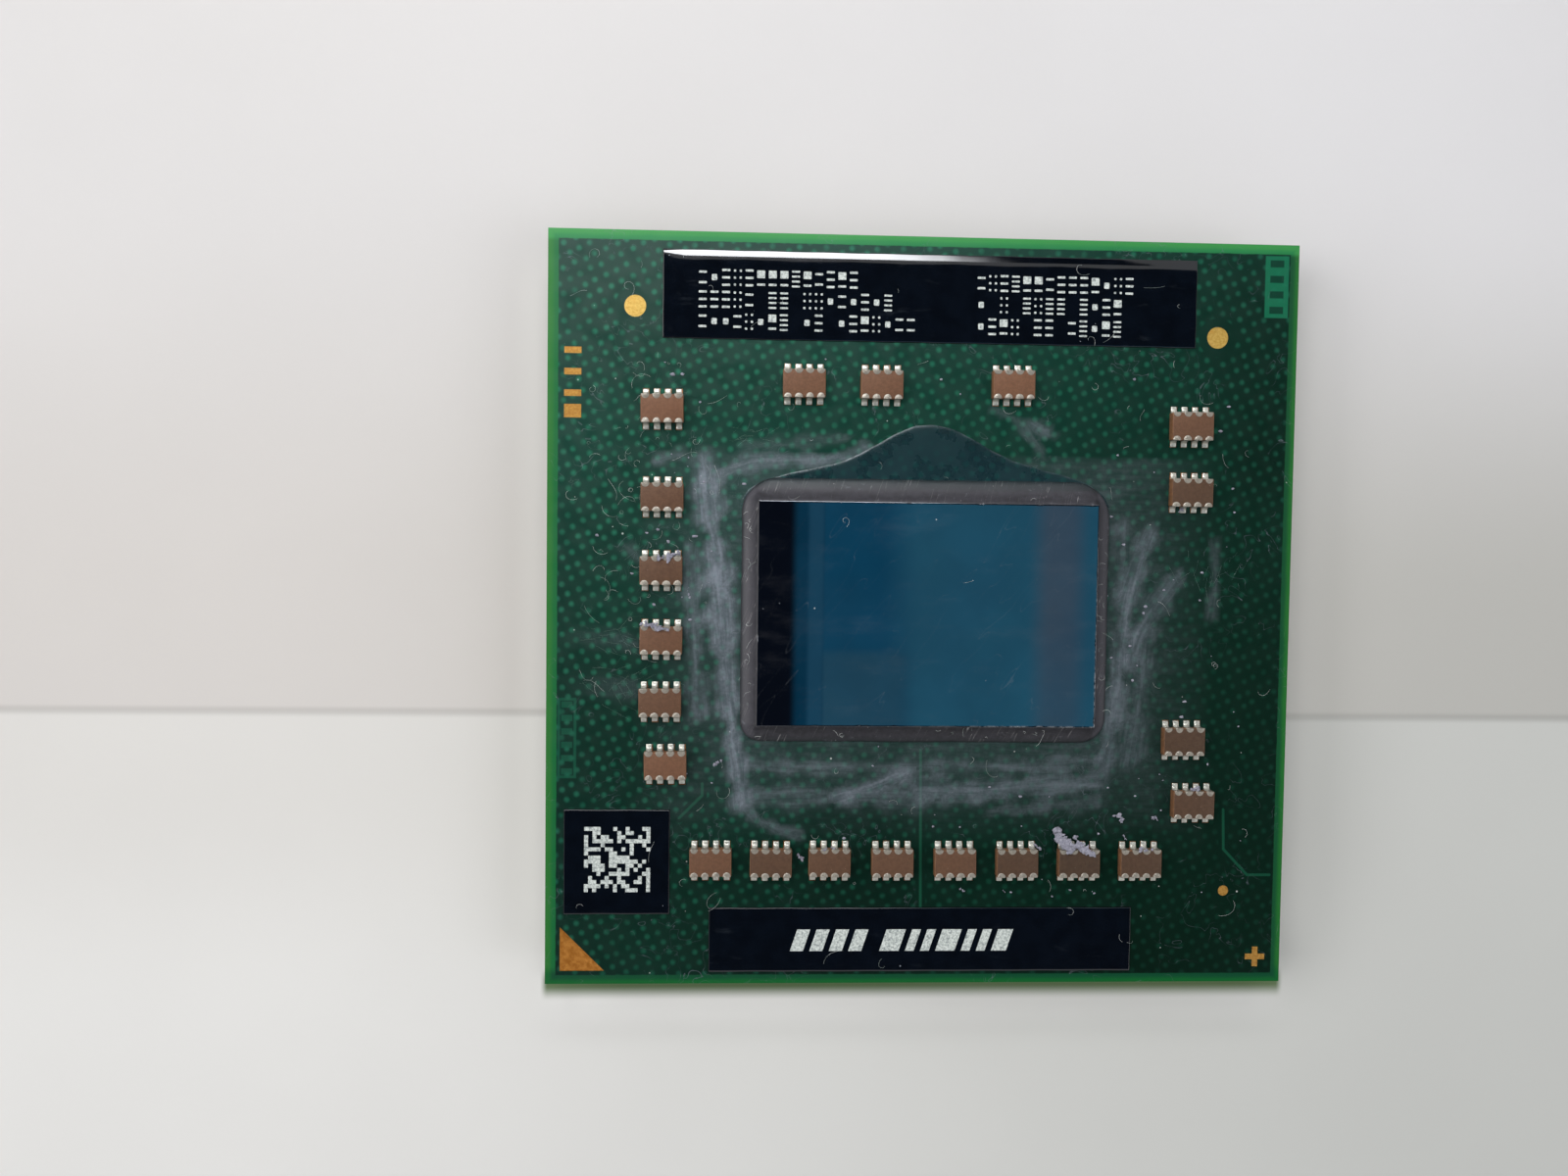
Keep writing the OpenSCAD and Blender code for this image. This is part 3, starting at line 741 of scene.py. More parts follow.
# each stroke of paste: points (x, y), half width, strength
STROKES = [
    ([(-10.2, 6.3), (-10.0, 4.4), (-9.7, 2.7), (-9.3, -1.9)], 1.15, 0.93),
    ([(-9.45, 1.5), (-9.2, -2.5), (-8.85, -5.8), (-8.4, -8.6)], 0.88, 0.84),
    ([(-8.5, -8.2), (-8.3, -9.0), (-7.7, -9.7), (-6.6, -10.2), (-5.9, -10.4)], 0.42, 0.44),
    ([(-10.3, 5.6), (-9.4, 6.5), (-7.9, 7.0), (-6.4, 7.1), (-4.3, 7.1), (-2.9, 7.5)], 0.62, 0.6),
    ([(-10.9, 3.0), (-10.7, -1.0), (-10.5, -4.6)], 0.85, 0.42),
    ([(-14.6, -1.1), (-13.6, -1.5)], 0.8, 0.21),
    ([(-15.0, -3.1), (-13.2, -3.7)], 0.8, 0.21),
    ([(-13.6, 2.8), (-12.9, 2.1)], 0.6, 0.16),
    ([(-9.3, 7.6), (-6.2, 7.9), (-3.6, 8.2)], 0.5, 0.2),
    ([(10.7, 4.0), (10.2, 2.7), (9.7, 0.9), (9.4, -1.5), (9.2, -4.4), (8.8, -7.2)], 0.85, 0.47),
    ([(12.1, 1.9), (11.2, 0.7), (10.3, -0.8), (9.7, -2.4)], 0.8, 0.42),
    ([(9.3, 4.2), (9.4, 2.6), (9.2, 0.5)], 0.5, 0.28),
    ([(10.6, -1.2), (10.4, -4.0), (10.0, -6.8)], 0.95, 0.26),
    ([(13.8, 3.4), (13.9, 1.6), (13.7, 0.2)], 0.5, 0.22),
    ([(-8.4, -7.1), (-4.0, -7.3), (0.0, -7.2), (4.5, -7.2), (8.6, -6.9)], 0.55, 0.3),
    ([(-3.9, -8.7), (-2.3, -8.2), (-0.4, -7.4)], 0.6, 0.62),
    ([(-7.6, -8.6), (-4.6, -8.6), (-1.0, -8.7), (3.5, -8.5)], 0.95, 0.3),
    ([(0.2, -8.2), (2.6, -8.3), (5.2, -8.1), (8.2, -7.9)], 1.0, 0.36),
    ([(3.6, -9.3), (6.2, -9.1), (8.3, -8.9)], 0.5, 0.26),
    ([(5.0, 8.9), (5.6, 8.6), (6.2, 8.5)], 0.5, 0.34),
    ([(3.2, 9.6), (4.4, 9.0), (5.4, 7.7)], 0.4, 0.2),
    ([(-12.5, 7.0), (-12.0, 7.15), (-11.5, 7.3)], 0.38, 0.42),
]
PASTE_GRID = 0.3  # spacing of the cuts that give the mask vertices to carry the paste
PASTE_CUTS = ((0, -13.4, 14.8), (1, -10.8, 10.2))  # axis, from, to


def stroke_fields(points):
    """Strength of the paste at each point, and coordinates along and across its stroke."""
    x, y = points[:, 0], points[:, 1]
    best = np.zeros(len(points))
    clear = np.ones(len(points))
    best_along, best_across = x.copy(), y.copy()
    for index, (line, width, strength) in enumerate(STROKES):
        run = 0.0
        near = np.full(len(points), 1e9)
        along, across = np.zeros(len(points)), np.zeros(len(points))
        for (ax, ay), (bx, by) in zip(line, line[1:]):
            length = math.hypot(bx - ax, by - ay)
            ux, uy = (bx - ax) / length, (by - ay) / length
            a = (x - ax) * ux + (y - ay) * uy
            c = (y - ay) * ux - (x - ax) * uy
            beyond = np.maximum(np.maximum(a - length, -a), 0)
            distance = np.hypot(beyond * 0.8, c)
            closer = distance < near
            near[closer] = distance[closer]
            along[closer], across[closer] = run + a[closer], c[closer]
            run += length
        wobble = (0.75 + 0.35 * np.sin(along * 1.7 + index * 2.1) * np.sin(along * 0.6 + index)
                  + 0.2 * np.sin(along * 4.3 + index * 1.3 + across * 1.5))
        cover = np.clip(1 - near / (width * wobble), 0, 1)
        cover = cover * cover * (3 - 2 * cover)
        cover = np.minimum(cover * 1.5, 1.0) * strength
        clear *= 1 - cover
        wins = cover > best
        best[wins] = cover[wins]
        best_along[wins] = along[wins] + index * 13.0
        best_across[wins] = across[wins] + index * 7.0
    # a thin haze all round the die
    outside = np.maximum(np.abs(x - 0.12) - 7.9, np.abs(y) - 5.2)
    haze = 0.2 * np.clip(1 - (outside - 0.4) / 5.4, 0, 1) * (y < 7.5)
    return np.minimum(1 - clear * (1 - haze), 0.9), best_along, best_across


def build_mask():
    name = "top_solder_mask_lacquer"
    bm = bmesh.new()
    bm.from_mesh(NODES["top_solder_mask"].data)
    bmesh.ops.remove_doubles(bm, verts=bm.verts, dist=1e-6)
    for axis, lo, hi in PASTE_CUTS:
        for i in range(int((hi - lo) / PASTE_GRID) + 1):
            point, normal = [0, 0, 0], [0, 0, 0]
            point[axis], normal[axis] = (lo + i * PASTE_GRID + 0.013) * MM, 1
            bmesh.ops.bisect_plane(bm, geom=bm.verts[:] + bm.edges[:] + bm.faces[:], dist=1e-7,
                                   plane_co=point, plane_no=normal)
    bmesh.ops.triangulate(bm, faces=[face for face in bm.faces if len(face.verts) > 4])
    mesh = bpy.data.meshes.new(name)
    bm.to_mesh(mesh)
    bm.free()
    flat = np.empty(len(mesh.vertices) * 3, np.float32)
    mesh.vertices.foreach_get("co", flat)
    fields = stroke_fields(flat.reshape(-1, 3)[:, :2].astype(float) / MM)
    for key, values in zip(("smear", "smear_u", "smear_v"), fields):
        layer = mesh.attributes.new(key, "FLOAT", "POINT")
        layer.data.foreach_set("value", values.astype(np.float32))
    mesh.materials.append(LOOK["mask_top"])
    mask = bpy.data.objects.new(name, mesh)
    bpy.context.scene.collection.objects.link(mask)
    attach(mask, "root")
    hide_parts("top_solder_mask")


build_mask()

# ---------------------------------------------------------------- capacitors

CAP_Z0 = Z_TOP + WRAP_T
CAP_HEIGHT = CAP_HI.z - CAP_LO.z
CAP_Z1 = CAP_Z0 + CAP_HEIGHT


def settle(verts, column, side, x, y, turn):
    """From the capacitor's own +Y side to its place. Side 1 is the opposite side."""
    slid = verts.copy()
    slid[:, 0] += column * TERM_PITCH
    return place(slid, x, y, 180 * side + turn)


def terminal(dice):
    """A plated end wrap: a domed half-round on top and a rounded band down the side."""
    width = TERM_W * dice.uniform(1.3, 1.42)
    reach = WRAP_L * dice.uniform(0.94, 1.1)
    sides, rings, dome_height = 18, 5, 0.036
    edge = CAP_Y / 2
    dome = []
    for i in range(sides):
        angle = 2 * math.pi * i / sides
        for j in range(rings):
            q = j / (rings - 1)
            radius = math.sin(q * math.pi / 2)
            dome.append((radius * math.cos(angle) * width / 2,
                         min(edge + radius * math.sin(angle) * reach, edge + WRAP_T),
                         CAP_Z1 - 0.004 + math.cos(q * math.pi / 2) * dome_height))
    faces = grid_faces(sides, rings, True)
    faces.append([i * rings + rings - 1 for i in range(sides)])
    band, band_faces = rounded_box(TERM_W * 1.06, 0.05, CAP_HEIGHT + 0.06, 0.02, 2)
    band[:, 1] += CAP_Y / 2 - 0.005
    band[:, 2] += CAP_Z0 + CAP_HEIGHT / 2
    return join([(np.array(dome), faces), (band, band_faces)])


def solder_joint(dice):
    """Concave solder fillet from the land up the terminal, rounded across its width."""
    columns, rows = 9, 17
    y0, y1 = CAP_Y / 2 - 0.06, CAP_Y / 2 + 0.02
    length = SOLDER_L * dice.uniform(0.96, 1.08)
    width = TERM_W * dice.uniform(0.88, 0.98)
    climb = CAP_HEIGHT * dice.uniform(0.42, 0.62)
    sheet = []
    for i in range(rows):
        t = i / (rows - 1)
        y = y0 + (y1 + length - y0) * t
        if y <= y1:
            height = climb
        else:
            q = min(1.0, (y - y1) / length)
            height = 0.03 + (climb - 0.03) * (1 - q) ** 4.2
            height += 0.012 * math.sin(math.pi * min(1.0, q))
            height *= 1 - max(0.0, (q - 0.86) / 0.14) ** 2 * 0.75
        squeeze = 1 - 0.12 * max(0.0, t - 0.85) / 0.15
        for j in range(columns):
            u = -1 + 2 * j / (columns - 1)
            z = Z_LAND + height * (1 - abs(u) ** 4 * 0.45) + 0.012
            sheet.append((u * width / 2 * squeeze, y, z))
    return close_sheet(sheet, rows, columns, Z_LAND)


def build_bank(prefix, centres, seed, tones):
    """A bank of capacitors. Each tone runs from 0, dark, to 1, light."""
    body, body_faces = rounded_box(CAP_X, CAP_Y, CAP_HEIGHT, 0.035, 3)
    body[:, 2] += CAP_Z0 + CAP_HEIGHT / 2
    edge = np.minimum.reduce([CAP_X / 2 - np.abs(body[:, 0]), CAP_Y / 2 - np.abs(body[:, 1])])
    rim = np.clip(1 - edge / 0.036, 0, 1)
    dice = random.Random(seed)
    places = [(x + dice.uniform(-0.02, 0.02), y + dice.uniform(-0.02, 0.02),
               dice.uniform(-0.8, 0.8)) for x, y in centres]
    add_piece(f"{prefix}_capacitor_bodies_fired", *copies((body, body_faces), places), "ceramic",
              "capacitor_ceramic", f"{prefix}_capacitor_bodies", sharp=40,
              attributes={"tone": np.repeat(tones, len(body)), "rim": np.tile(rim, len(places))})
    terminals, joints = [], []
    for spot in places:
        for column in (-1.5, -0.5, 0.5, 1.5):
            for side in (0, 1):
                for parts, make in ((terminals, terminal), (joints, solder_joint)):
                    verts, faces = make(dice)
                    parts.append((settle(verts, column, side, *spot), faces))
    add_piece(f"{prefix}_capacitor_terminals_wrapped", *join(terminals), "tin",
              "tinned_terminal", f"{prefix}_capacitor_terminals", sharp=50)
    add_piece(f"{prefix}_capacitor_solder_fillets", *join(joints), "solder", "solder",
              f"{prefix}_capacitor_solder", sharp=50)


build_bank("left", LEFT, seed=11, tones=(1.0, 0.45, 0.4, 0.7, 0.55, 0.95))
build_bank("back", BACK, seed=12, tones=(0.85, 0.8, 0.95))
build_bank("right", RIGHT, seed=13, tones=(0.6, 0.2, 0.1, 0.2))
build_bank("front", FRONT, seed=14, tones=(0.75, 0.3, 0.4, 0.5, 0.55, 0.15, 0.0, 0.15))


# ---------------------------------------------------------------- printed pads and their marks

def ink_pad(node, x0, y0, x1, y1, far_run, seed):
    """A printed block. Its edges round over in near, and its +Y edge in far_run."""
    near = 0.045

    def stations(start, end, start_run, end_run):
        ease = np.array([0, 0.02, 0.06, 0.12, 0.2, 0.32, 0.46, 0.62, 0.8, 1.0])
        count = max(6, int((end - start - start_run - end_run) / 0.45))
        middle = np.linspace(start + start_run + 0.05, end - end_run - 0.05, count)
        return np.r_[start + ease * start_run, middle, end - (ease * end_run)[::-1]]

    def round_over(distance, run):
        return 1 - (1 - np.clip(distance / run, 0, 1)) ** 2

    xs, ys = stations(x0, x1, near, near), stations(y0, y1, near, far_run)
    x, y = np.meshgrid(xs, ys, indexing="ij")
    side, front, back = np.minimum(x - x0, x1 - x), y - y0, y1 - y
    end = np.minimum(front, back)
    low = INK_EDGE * round_over(np.minimum(side, end), 0.02)
    if far_run > 0.3:
        # the long far slope is mitred at its left end and a little wavy
        far_run = far_run * np.clip(0.15 + (x - x0) / 0.4, 0.15, 1) * (
            1 + 0.07 * np.sin(x * 1.3 + seed) + 0.05 * np.sin(x * 3.9) + 0.03 * np.sin(x * 9.1))
    z = Z_TOP + low + (INK_T - INK_EDGE) * round_over(side, near) * round_over(
        front, near) * round_over(back, far_run)
    # slightly uneven printed outline
    shift_x = np.exp(-side / 0.1) * np.sign(x - (x0 + x1) / 2) * 0.008 * np.sin(y * 3.1 + seed)
    shift_y = np.exp(-end / 0.1) * np.sign(y - (y0 + y1) / 2) * 0.008 * np.sin(x * 2.3 + seed * 2)
    sheet = np.stack([x + shift_x, y + shift_y, z], -1).reshape(-1, 3)
    add_piece(f"{node}_printed", *close_sheet(sheet, len(xs), len(ys), Z_TOP - 0.004), "ink",
              "marking_ink", node, sharp=60)


ink_pad("upper_marking_pad", -12.27, 12.6, 12.65, 16.68, far_run=0.6, seed=3)
ink_pad("lower_marking_pad", -9.88, -16.95, 10.21, -13.88, far_run=0.05, seed=5)
ink_pad("code_marking_pad", -16.66, -14.2, -11.72, -9.25, far_run=0.05, seed=7)

MARK_Z = Z_TOP + INK_T
MARK_HALF_T = 0.004
MARK_H = 0.78  # height of a row of marks, along y


def prism(outline):
    count = len(outline)
    verts = np.array([(x, y, MARK_Z + z) for z in (-MARK_HALF_T, MARK_HALF_T)
                      for x, y in outline])
    faces = [list(range(count))[::-1], [i + count for i in range(count)]]
    faces += [[i, (i + 1) % count, (i + 1) % count + count, i + count] for i in range(count)]
    return verts, faces


def bar(x0, y0, x1, y1, radius=0.03):
    """A flat bar with rounded corners."""
    outline = []
    for cx, cy, start in ((x1 - radius, y0 + radius, -90), (x1 - radius, y1 - radius, 0),
                          (x0 + radius, y1 - radius, 90), (x0 + radius, y0 + radius, 180)):
        for k in range(4):
            angle = math.radians(start + 30 * k)
            outline.append((cx + radius * math.cos(angle), cy + radius * math.sin(angle)))
    return prism(outline)


def mark_row(x0, x1, y, seed, gaps):
    """A row of plain dashes, dots and blocks. None of them is a letter or a digit."""
    dice = random.Random(seed)
    line, pitch, wide = 0.105, 0.535, 0.37
    middle, high = y + MARK_H / 2, MARK_H
    parts, x, i = [], x0, 0
    while x + wide <= x1 + 0.05:
        if i not in gaps:
            kind = dice.choice(("three dashes", "two dashes", "dots", "dash and block", "block",
                                "four dashes"))
            end = x + wide
            if kind == "three dashes":
                parts += [bar(x, y + k * (high - line) / 2, end, y + k * (high - line) / 2 + line)
                          for k in range(3)]
            elif kind == "two dashes":
                parts += [bar(x, y + 0.1, end, y + 0.1 + line),
                          bar(x, y + high - 0.1 - line, end, y + high - 0.1)]
            elif kind == "dots":
                parts += [bar(x + q, y + k, x + q + line, y + k + line)
                          for q in (0.0, wide - line)
                          for k in (0.02, (high - line) / 2, high - line - 0.02)]
            elif kind == "dash and block":
                parts += [bar(x, y + 0.04, end, y + 0.04 + line),
                          bar(x, middle, end, y + high - 0.04)]
            elif kind == "block":
                parts.append(bar(x + 0.06, middle - 0.14, end - 0.06, middle + 0.14, 0.05))
            else:
                parts += [bar(x, y + k * (high - line) / 3, end,
                              y + k * (high - line) / 3 + line * 0.85) for k in range(4)]
        x += pitch
        i += 1
    return parts


# x from, x to, y, seed, cells left empty
MARK_ROWS = [
    (-10.62, -3.0, 15.02, 1, ()), (-10.62, -1.6, 14.02, 2, (5, 8)),
    (-10.62, -0.25, 13.02, 3, (8, 11)), (2.28, 9.85, 15.02, 4, ()),
    (2.28, 9.3, 14.02, 5, (1, 3, 8)), (2.28, 9.3, 13.02, 6, (4, 7)),
]
marks = [mark for row in MARK_ROWS for mark in mark_row(*row)]
add_piece("upper_pad_marks", *join(marks), "mark", "marking_ink", smooth=False)


def slanted_blocks():
    """A plain line of slanted blocks. None is a wider gap."""
    y0, y1, lean, gap = -15.95, -14.92, 0.34, 0.3
    parts, x = [], -6.05
    for width in (0.62, 0.62, 0.62, 0.62, None, 0.92, 0.42, 0.42, 0.92, 0.42, 0.42, 0.72):
        if width is None:
            x += 0.55
            continue
        parts.append(prism([(x, y0), (x + width, y0), (x + width + lean, y1), (x + lean, y1)]))
        x += width + gap
    return parts


add_piece("lower_pad_marks", *join(slanted_blocks()), "mark", "marking_ink", smooth=False)


def random_cells():
    """A block of random cells that holds no code."""
    dice = random.Random(97)
    count, x_left, y_front = 16, -15.70, -13.14
    cell = 3.08 / count
    parts = []
    for i in range(count):
        j = 0
        while j < count:
            run = 0
            while j + run < count and dice.random() < 0.52:
                run += 1
            if run:
                x0, y0 = x_left + j * cell, y_front + i * cell
                parts.append(bar(x0, y0 + 0.004, x0 + run * cell - 0.008, y0 + cell - 0.004,
                                 0.018))
            j += run + 1
    return parts


add_piece("code_pad_cells", *join(random_cells()), "mark", "marking_ink", smooth=False)

# ---------------------------------------------------------------- die and underfill

DIE_X0, DIE_Y0, DIE_X1, DIE_Y1 = DIE_LO.x, DIE_LO.y, DIE_HI.x, DIE_HI.y


def die_outline(count):
    """Points round the die, anticlockwise, with the outward direction of each."""
    points = []
    width, depth = DIE_X1 - DIE_X0, DIE_Y1 - DIE_Y0
    corners = [(DIE_X0, DIE_Y0), (DIE_X1, DIE_Y0), (DIE_X1, DIE_Y1), (DIE_X0, DIE_Y1)]
    outward = [(0, -1), (1, 0), (0, 1), (-1, 0)]
    for (ax, ay), (bx, by), normal in zip(corners, corners[1:] + corners[:1], outward):
        steps = int(count * (abs(bx - ax) + abs(by - ay)) / (2 * (width + depth)))
        for i in range(steps):
            t = i / steps
            points.append((ax + (bx - ax) * t, ay + (by - ay) * t, *normal))
    return points


DIE_RING = die_outline(640)


def build_die():
    # inset from the side and height, from the foot to the top face
    levels = [(0.0, DIE_LO.z), (0.0, DIE_LO.z + 0.25), (0.0, DIE_HI.z - 0.06),
              (0.002, DIE_HI.z - 0.008), (0.006, DIE_HI.z - 0.002), (0.012, DIE_HI.z),
              (0.07, DIE_HI.z)]
    count, rows = len(DIE_RING), len(levels)
    chips = np.clip(np.random.default_rng(638).normal(size=count) - 1.5, 0, 2.0) * 0.012
    chips = np.convolve(np.r_[chips, chips[:2]], [0.35, 1.0, 0.35], "same")[:count]
    verts = []
    for i, (x, y, nx, ny) in enumerate(DIE_RING):
        before_x, before_y = DIE_RING[i - 1][2:]
        corner = (nx, ny) != (before_x, before_y)
        for level, (inset, z) in enumerate(levels):
            chip = chips[i] if level in (3, 4, 5) else 0.0
            drop = chips[i] * 0.8 if level in (4, 5) else 0.0
            shift_x, shift_y = -nx * (inset + chip), -ny * (inset + chip)
            if corner:
                shift_x += -before_x * inset
                shift_y += -before_y * inset
            verts.append((x + shift_x, y + shift_y, z - drop))
    faces = grid_faces(count, rows, True)
    faces.append([i * rows + rows - 1 for i in range(count)])
    faces.append([i * rows for i in range(count)][::-1])
    die = add_piece("silicon_die_polished", verts, faces, "die", "polished_silicon",
                    "silicon_die", sharp=25)
    for polygon in die.data.polygons:
        if len(polygon.vertices) > 4:
            polygon.use_smooth = False


build_die()

# resin fillet section: share of the reach, drop below the highest point
FILLET_DROP = 0.652
FILLET = [(0.0, 0.0), (0.05, -0.015), (0.14, -0.1), (0.26, -0.2), (0.4, -0.3), (0.54, -0.375),
          (0.67, -0.43), (0.79, -0.475), (0.88, -0.515), (0.95, -0.565), (0.985, -0.61),
          (1.0, -FILLET_DROP)]
# outline where the resin stopped, with a radius for each corner (side in x, side in y)
RESIN_X0, RESIN_X1, RESIN_Y0, RESIN_Y1 = -8.52, 8.74, -6.02, 6.28
RESIN_RADIUS = {(-1, -1): 1.0, (1, -1): 1.25, (-1, 1): 1.65, (1, 1): 1.75}


def in_resin(x, y):
    if not (RESIN_X0 <= x <= RESIN_X1 and RESIN_Y0 <= y <= RESIN_Y1):
        return False
    side_x, side_y = (-1 if x < (DIE_X0 + DIE_X1) / 2 else 1), (-1 if y < 0 else 1)
    radius = RESIN_RADIUS[(side_x, side_y)]
    qx = RESIN_X0 + radius - x if side_x < 0 else x - RESIN_X1 + radius
    qy = RESIN_Y0 + radius - y if side_y < 0 else y - RESIN_Y1 + radius
    return qx <= 0 or qy <= 0 or math.hypot(qx, qy) <= radius


def resin_reach(x, y, nx, ny):
    """How far the resin runs from a point on the die, found by halving."""
    lo, hi = 0.0, 2.2
    for _ in range(24):
        mid = (lo + hi) / 2
        if in_resin(x + nx * mid, y + ny * mid):
            lo = mid
        else:
            hi = mid
    return lo


def fillet_path(corner_steps=14):
    """The die outline with a fan of directions at each corner."""
    path = []
    for i, (x, y, nx, ny) in enumerate(DIE_RING):
        before_x, before_y = DIE_RING[i - 1][2:]
        if (nx, ny) != (before_x, before_y):
            start, end = math.atan2(before_y, before_x), math.atan2(ny, nx)
            while end < start:
                end += 2 * math.pi
            for k in range(corner_steps):
                angle = start + (end - start) * k / corner_steps
                path.append((x, y, math.cos(angle), math.sin(angle)))
        path.append((x, y, nx, ny))
    return path


def build_fillet():
    """The resin meniscus round the die, with an uneven toe."""
    path = fillet_path()
    count = len(path)
    t = np.arange(count) / count
    toe = wave(t, 5, 0.035, 2, 40)
    climb = wave(t, 8, 0.04, 2, 50)
    wet_line = DIE_LO.z + 0.55
    inward, against_die = -0.3, 0.002
    verts = []
    for i, (x, y, nx, ny) in enumerate(path):
        reach = resin_reach(x, y, nx, ny) + toe[i]
        height = wet_line - Z_TOP + climb[i] + 0.03 * ny
        section = [(u * reach if u else against_die,
                    Z_TOP + height * (1 + dz / FILLET_DROP) + 0.002) for u, dz in FILLET]
        section += [(reach, Z_TOP - 0.002), (inward, Z_TOP - 0.002),
                    (inward, DIE_LO.z - 0.02), (against_die, DIE_LO.z - 0.02)]
        verts += [(x + nx * d, y + ny * d, z) for d, z in section]
    rows = len(FILLET) + 4
    faces = grid_faces(count, rows, True)
    for i in range(count):
        j = (i + 1) % count
        faces.append([i * rows + rows - 1, j * rows + rows - 1, j * rows, i * rows])
    add_piece("underfill_fillet", verts, faces, "underfill", "underfill_epoxy", "underfill",
              sharp=70)


build_fillet()

# edge of the thin resin film that ran out at the back of the die: (x, y)
FILM_EDGE = np.array([
    (-8.55, 5.2), (-8.2, 5.8), (-7.5, 6.15), (-5.77, 6.62), (-4.22, 6.95), (-3.3, 7.3),
    (-2.55, 7.72), (-1.57, 8.31), (-0.6, 8.74), (0.2, 8.86), (1.15, 8.7), (2.17, 8.22),
    (3.2, 7.64), (4.14, 7.18), (5.36, 6.86), (6.82, 6.5), (7.85, 6.1), (8.5, 5.6), (8.78, 5.0),
])


def build_film():
    t = np.linspace(0, len(FILM_EDGE) - 1, 200)
    kernel = np.exp(-np.linspace(-2, 2, 17) ** 2)
    kernel /= kernel.sum()
    edge_x, edge_y = [
        np.convolve(np.pad(np.interp(t, np.arange(len(FILM_EDGE)), column), 8, "edge"), kernel,
                    "valid") for column in FILM_EDGE.T]
    edge_y = edge_y + 0.02 * np.sin(t * 4.1) * np.sin(t * 1.7)
    base_x = np.clip(edge_x, DIE_X0 + 0.2, DIE_X1 - 0.2)
    base_y = np.full_like(edge_x, DIE_Y1 + 0.25)
    shares = [0.0, 0.02, 0.05, 0.1, 0.2, 0.35, 0.5, 0.7, 1.0]  # from the edge to the die
    sheet, rim = [], []
    for ex, ey, bx, by in zip(edge_x, edge_y, base_x, base_y):
        for q in shares:
            x, y = ex + (bx - ex) * q, ey + (by - ey) * q
            inside = math.hypot(x - ex, y - ey)
            height = 0.004 + 0.03 * (1 - math.exp(-inside / 0.12)) + 0.05 * max(0.0, q - 0.5) ** 2
            sheet.append((x, y, Z_TOP + height))
            rim.append(math.exp(-inside / 0.09))
    add_piece("underfill_bleed_film", *close_sheet(sheet, len(t), len(shares), Z_TOP - 0.002),
              "film", "underfill_epoxy", sharp=60, attributes={"rim": rim + rim})


build_film()

# ---------------------------------------------------------------- pins

# (radius, z) from the tip up
PIN_PROFILE = [
    (0, 0), (0.07, 0.003), (0.115, 0.018), (0.142, 0.05), (0.1525, 0.1), (0.1525, 1.0),
    (0.1525, 1.71), (0.158, 1.74), (0.185, 1.82), (0.205, 1.852), (0.225, 1.86), (0.31, 1.862),
    (0.328, 1.875), (0.33, 1.9), (0.33, 1.955), (0.322, 1.972), (0.3, 1.98), (0, 1.98),
]
PIN_SOLDER_PROFILE = [
    (0, 1.972), (0.325, 1.972), (0.334, 1.93), (0.345, 1.938), (0.358, 1.97), (0.372, 2.0),
    (0.382, 2.02), (0.388, 2.045), (0, 2.045),
]


def pin_group(column, row):
    """The CAD group of the pin at a grid position, or None where there is no pin."""
    middle, last = (PINS_PER_SIDE - 1) / 2, PINS_PER_SIDE - 1
    if abs(column - middle) < 3 and abs(row - middle) < 3:
        return None
    if row == 0 and column in (0, last):
        return None
    if (row == last and column in (0, last)) or (row == 0 and column in (1, last - 1)):
        return "corner"
    if row > 15.5:
        return "back"
    if row < 9.5:
        return "front"
    return "middle_left" if column < middle else "middle_right"


def build_pins():
    middle = (PINS_PER_SIDE - 1) / 2
    groups = {}
    for i in range(PINS_PER_SIDE):
        for j in range(PINS_PER_SIDE):
            group = pin_group(i, j)
            if group:
                groups.setdefault(group, []).append(
                    ((i - middle) * PIN_PITCH, (j - middle) * PIN_PITCH, rng.uniform(0, 20)))
    pin, solder = revolve(PIN_PROFILE, 18), revolve(PIN_SOLDER_PROFILE, 18)
    for group, places in groups.items():
        add_piece(f"{group}_pins_drawn", *copies(pin, places), "pin", "gold_pin",
                  f"{group}_pins", sharp=50)
        add_piece(f"{group}_pin_solder_fillets", *copies(solder, places), "solder", "solder",
                  f"{group}_pin_solder", sharp=50)


build_pins()

# ---------------------------------------------------------------- leftovers of paste and lint

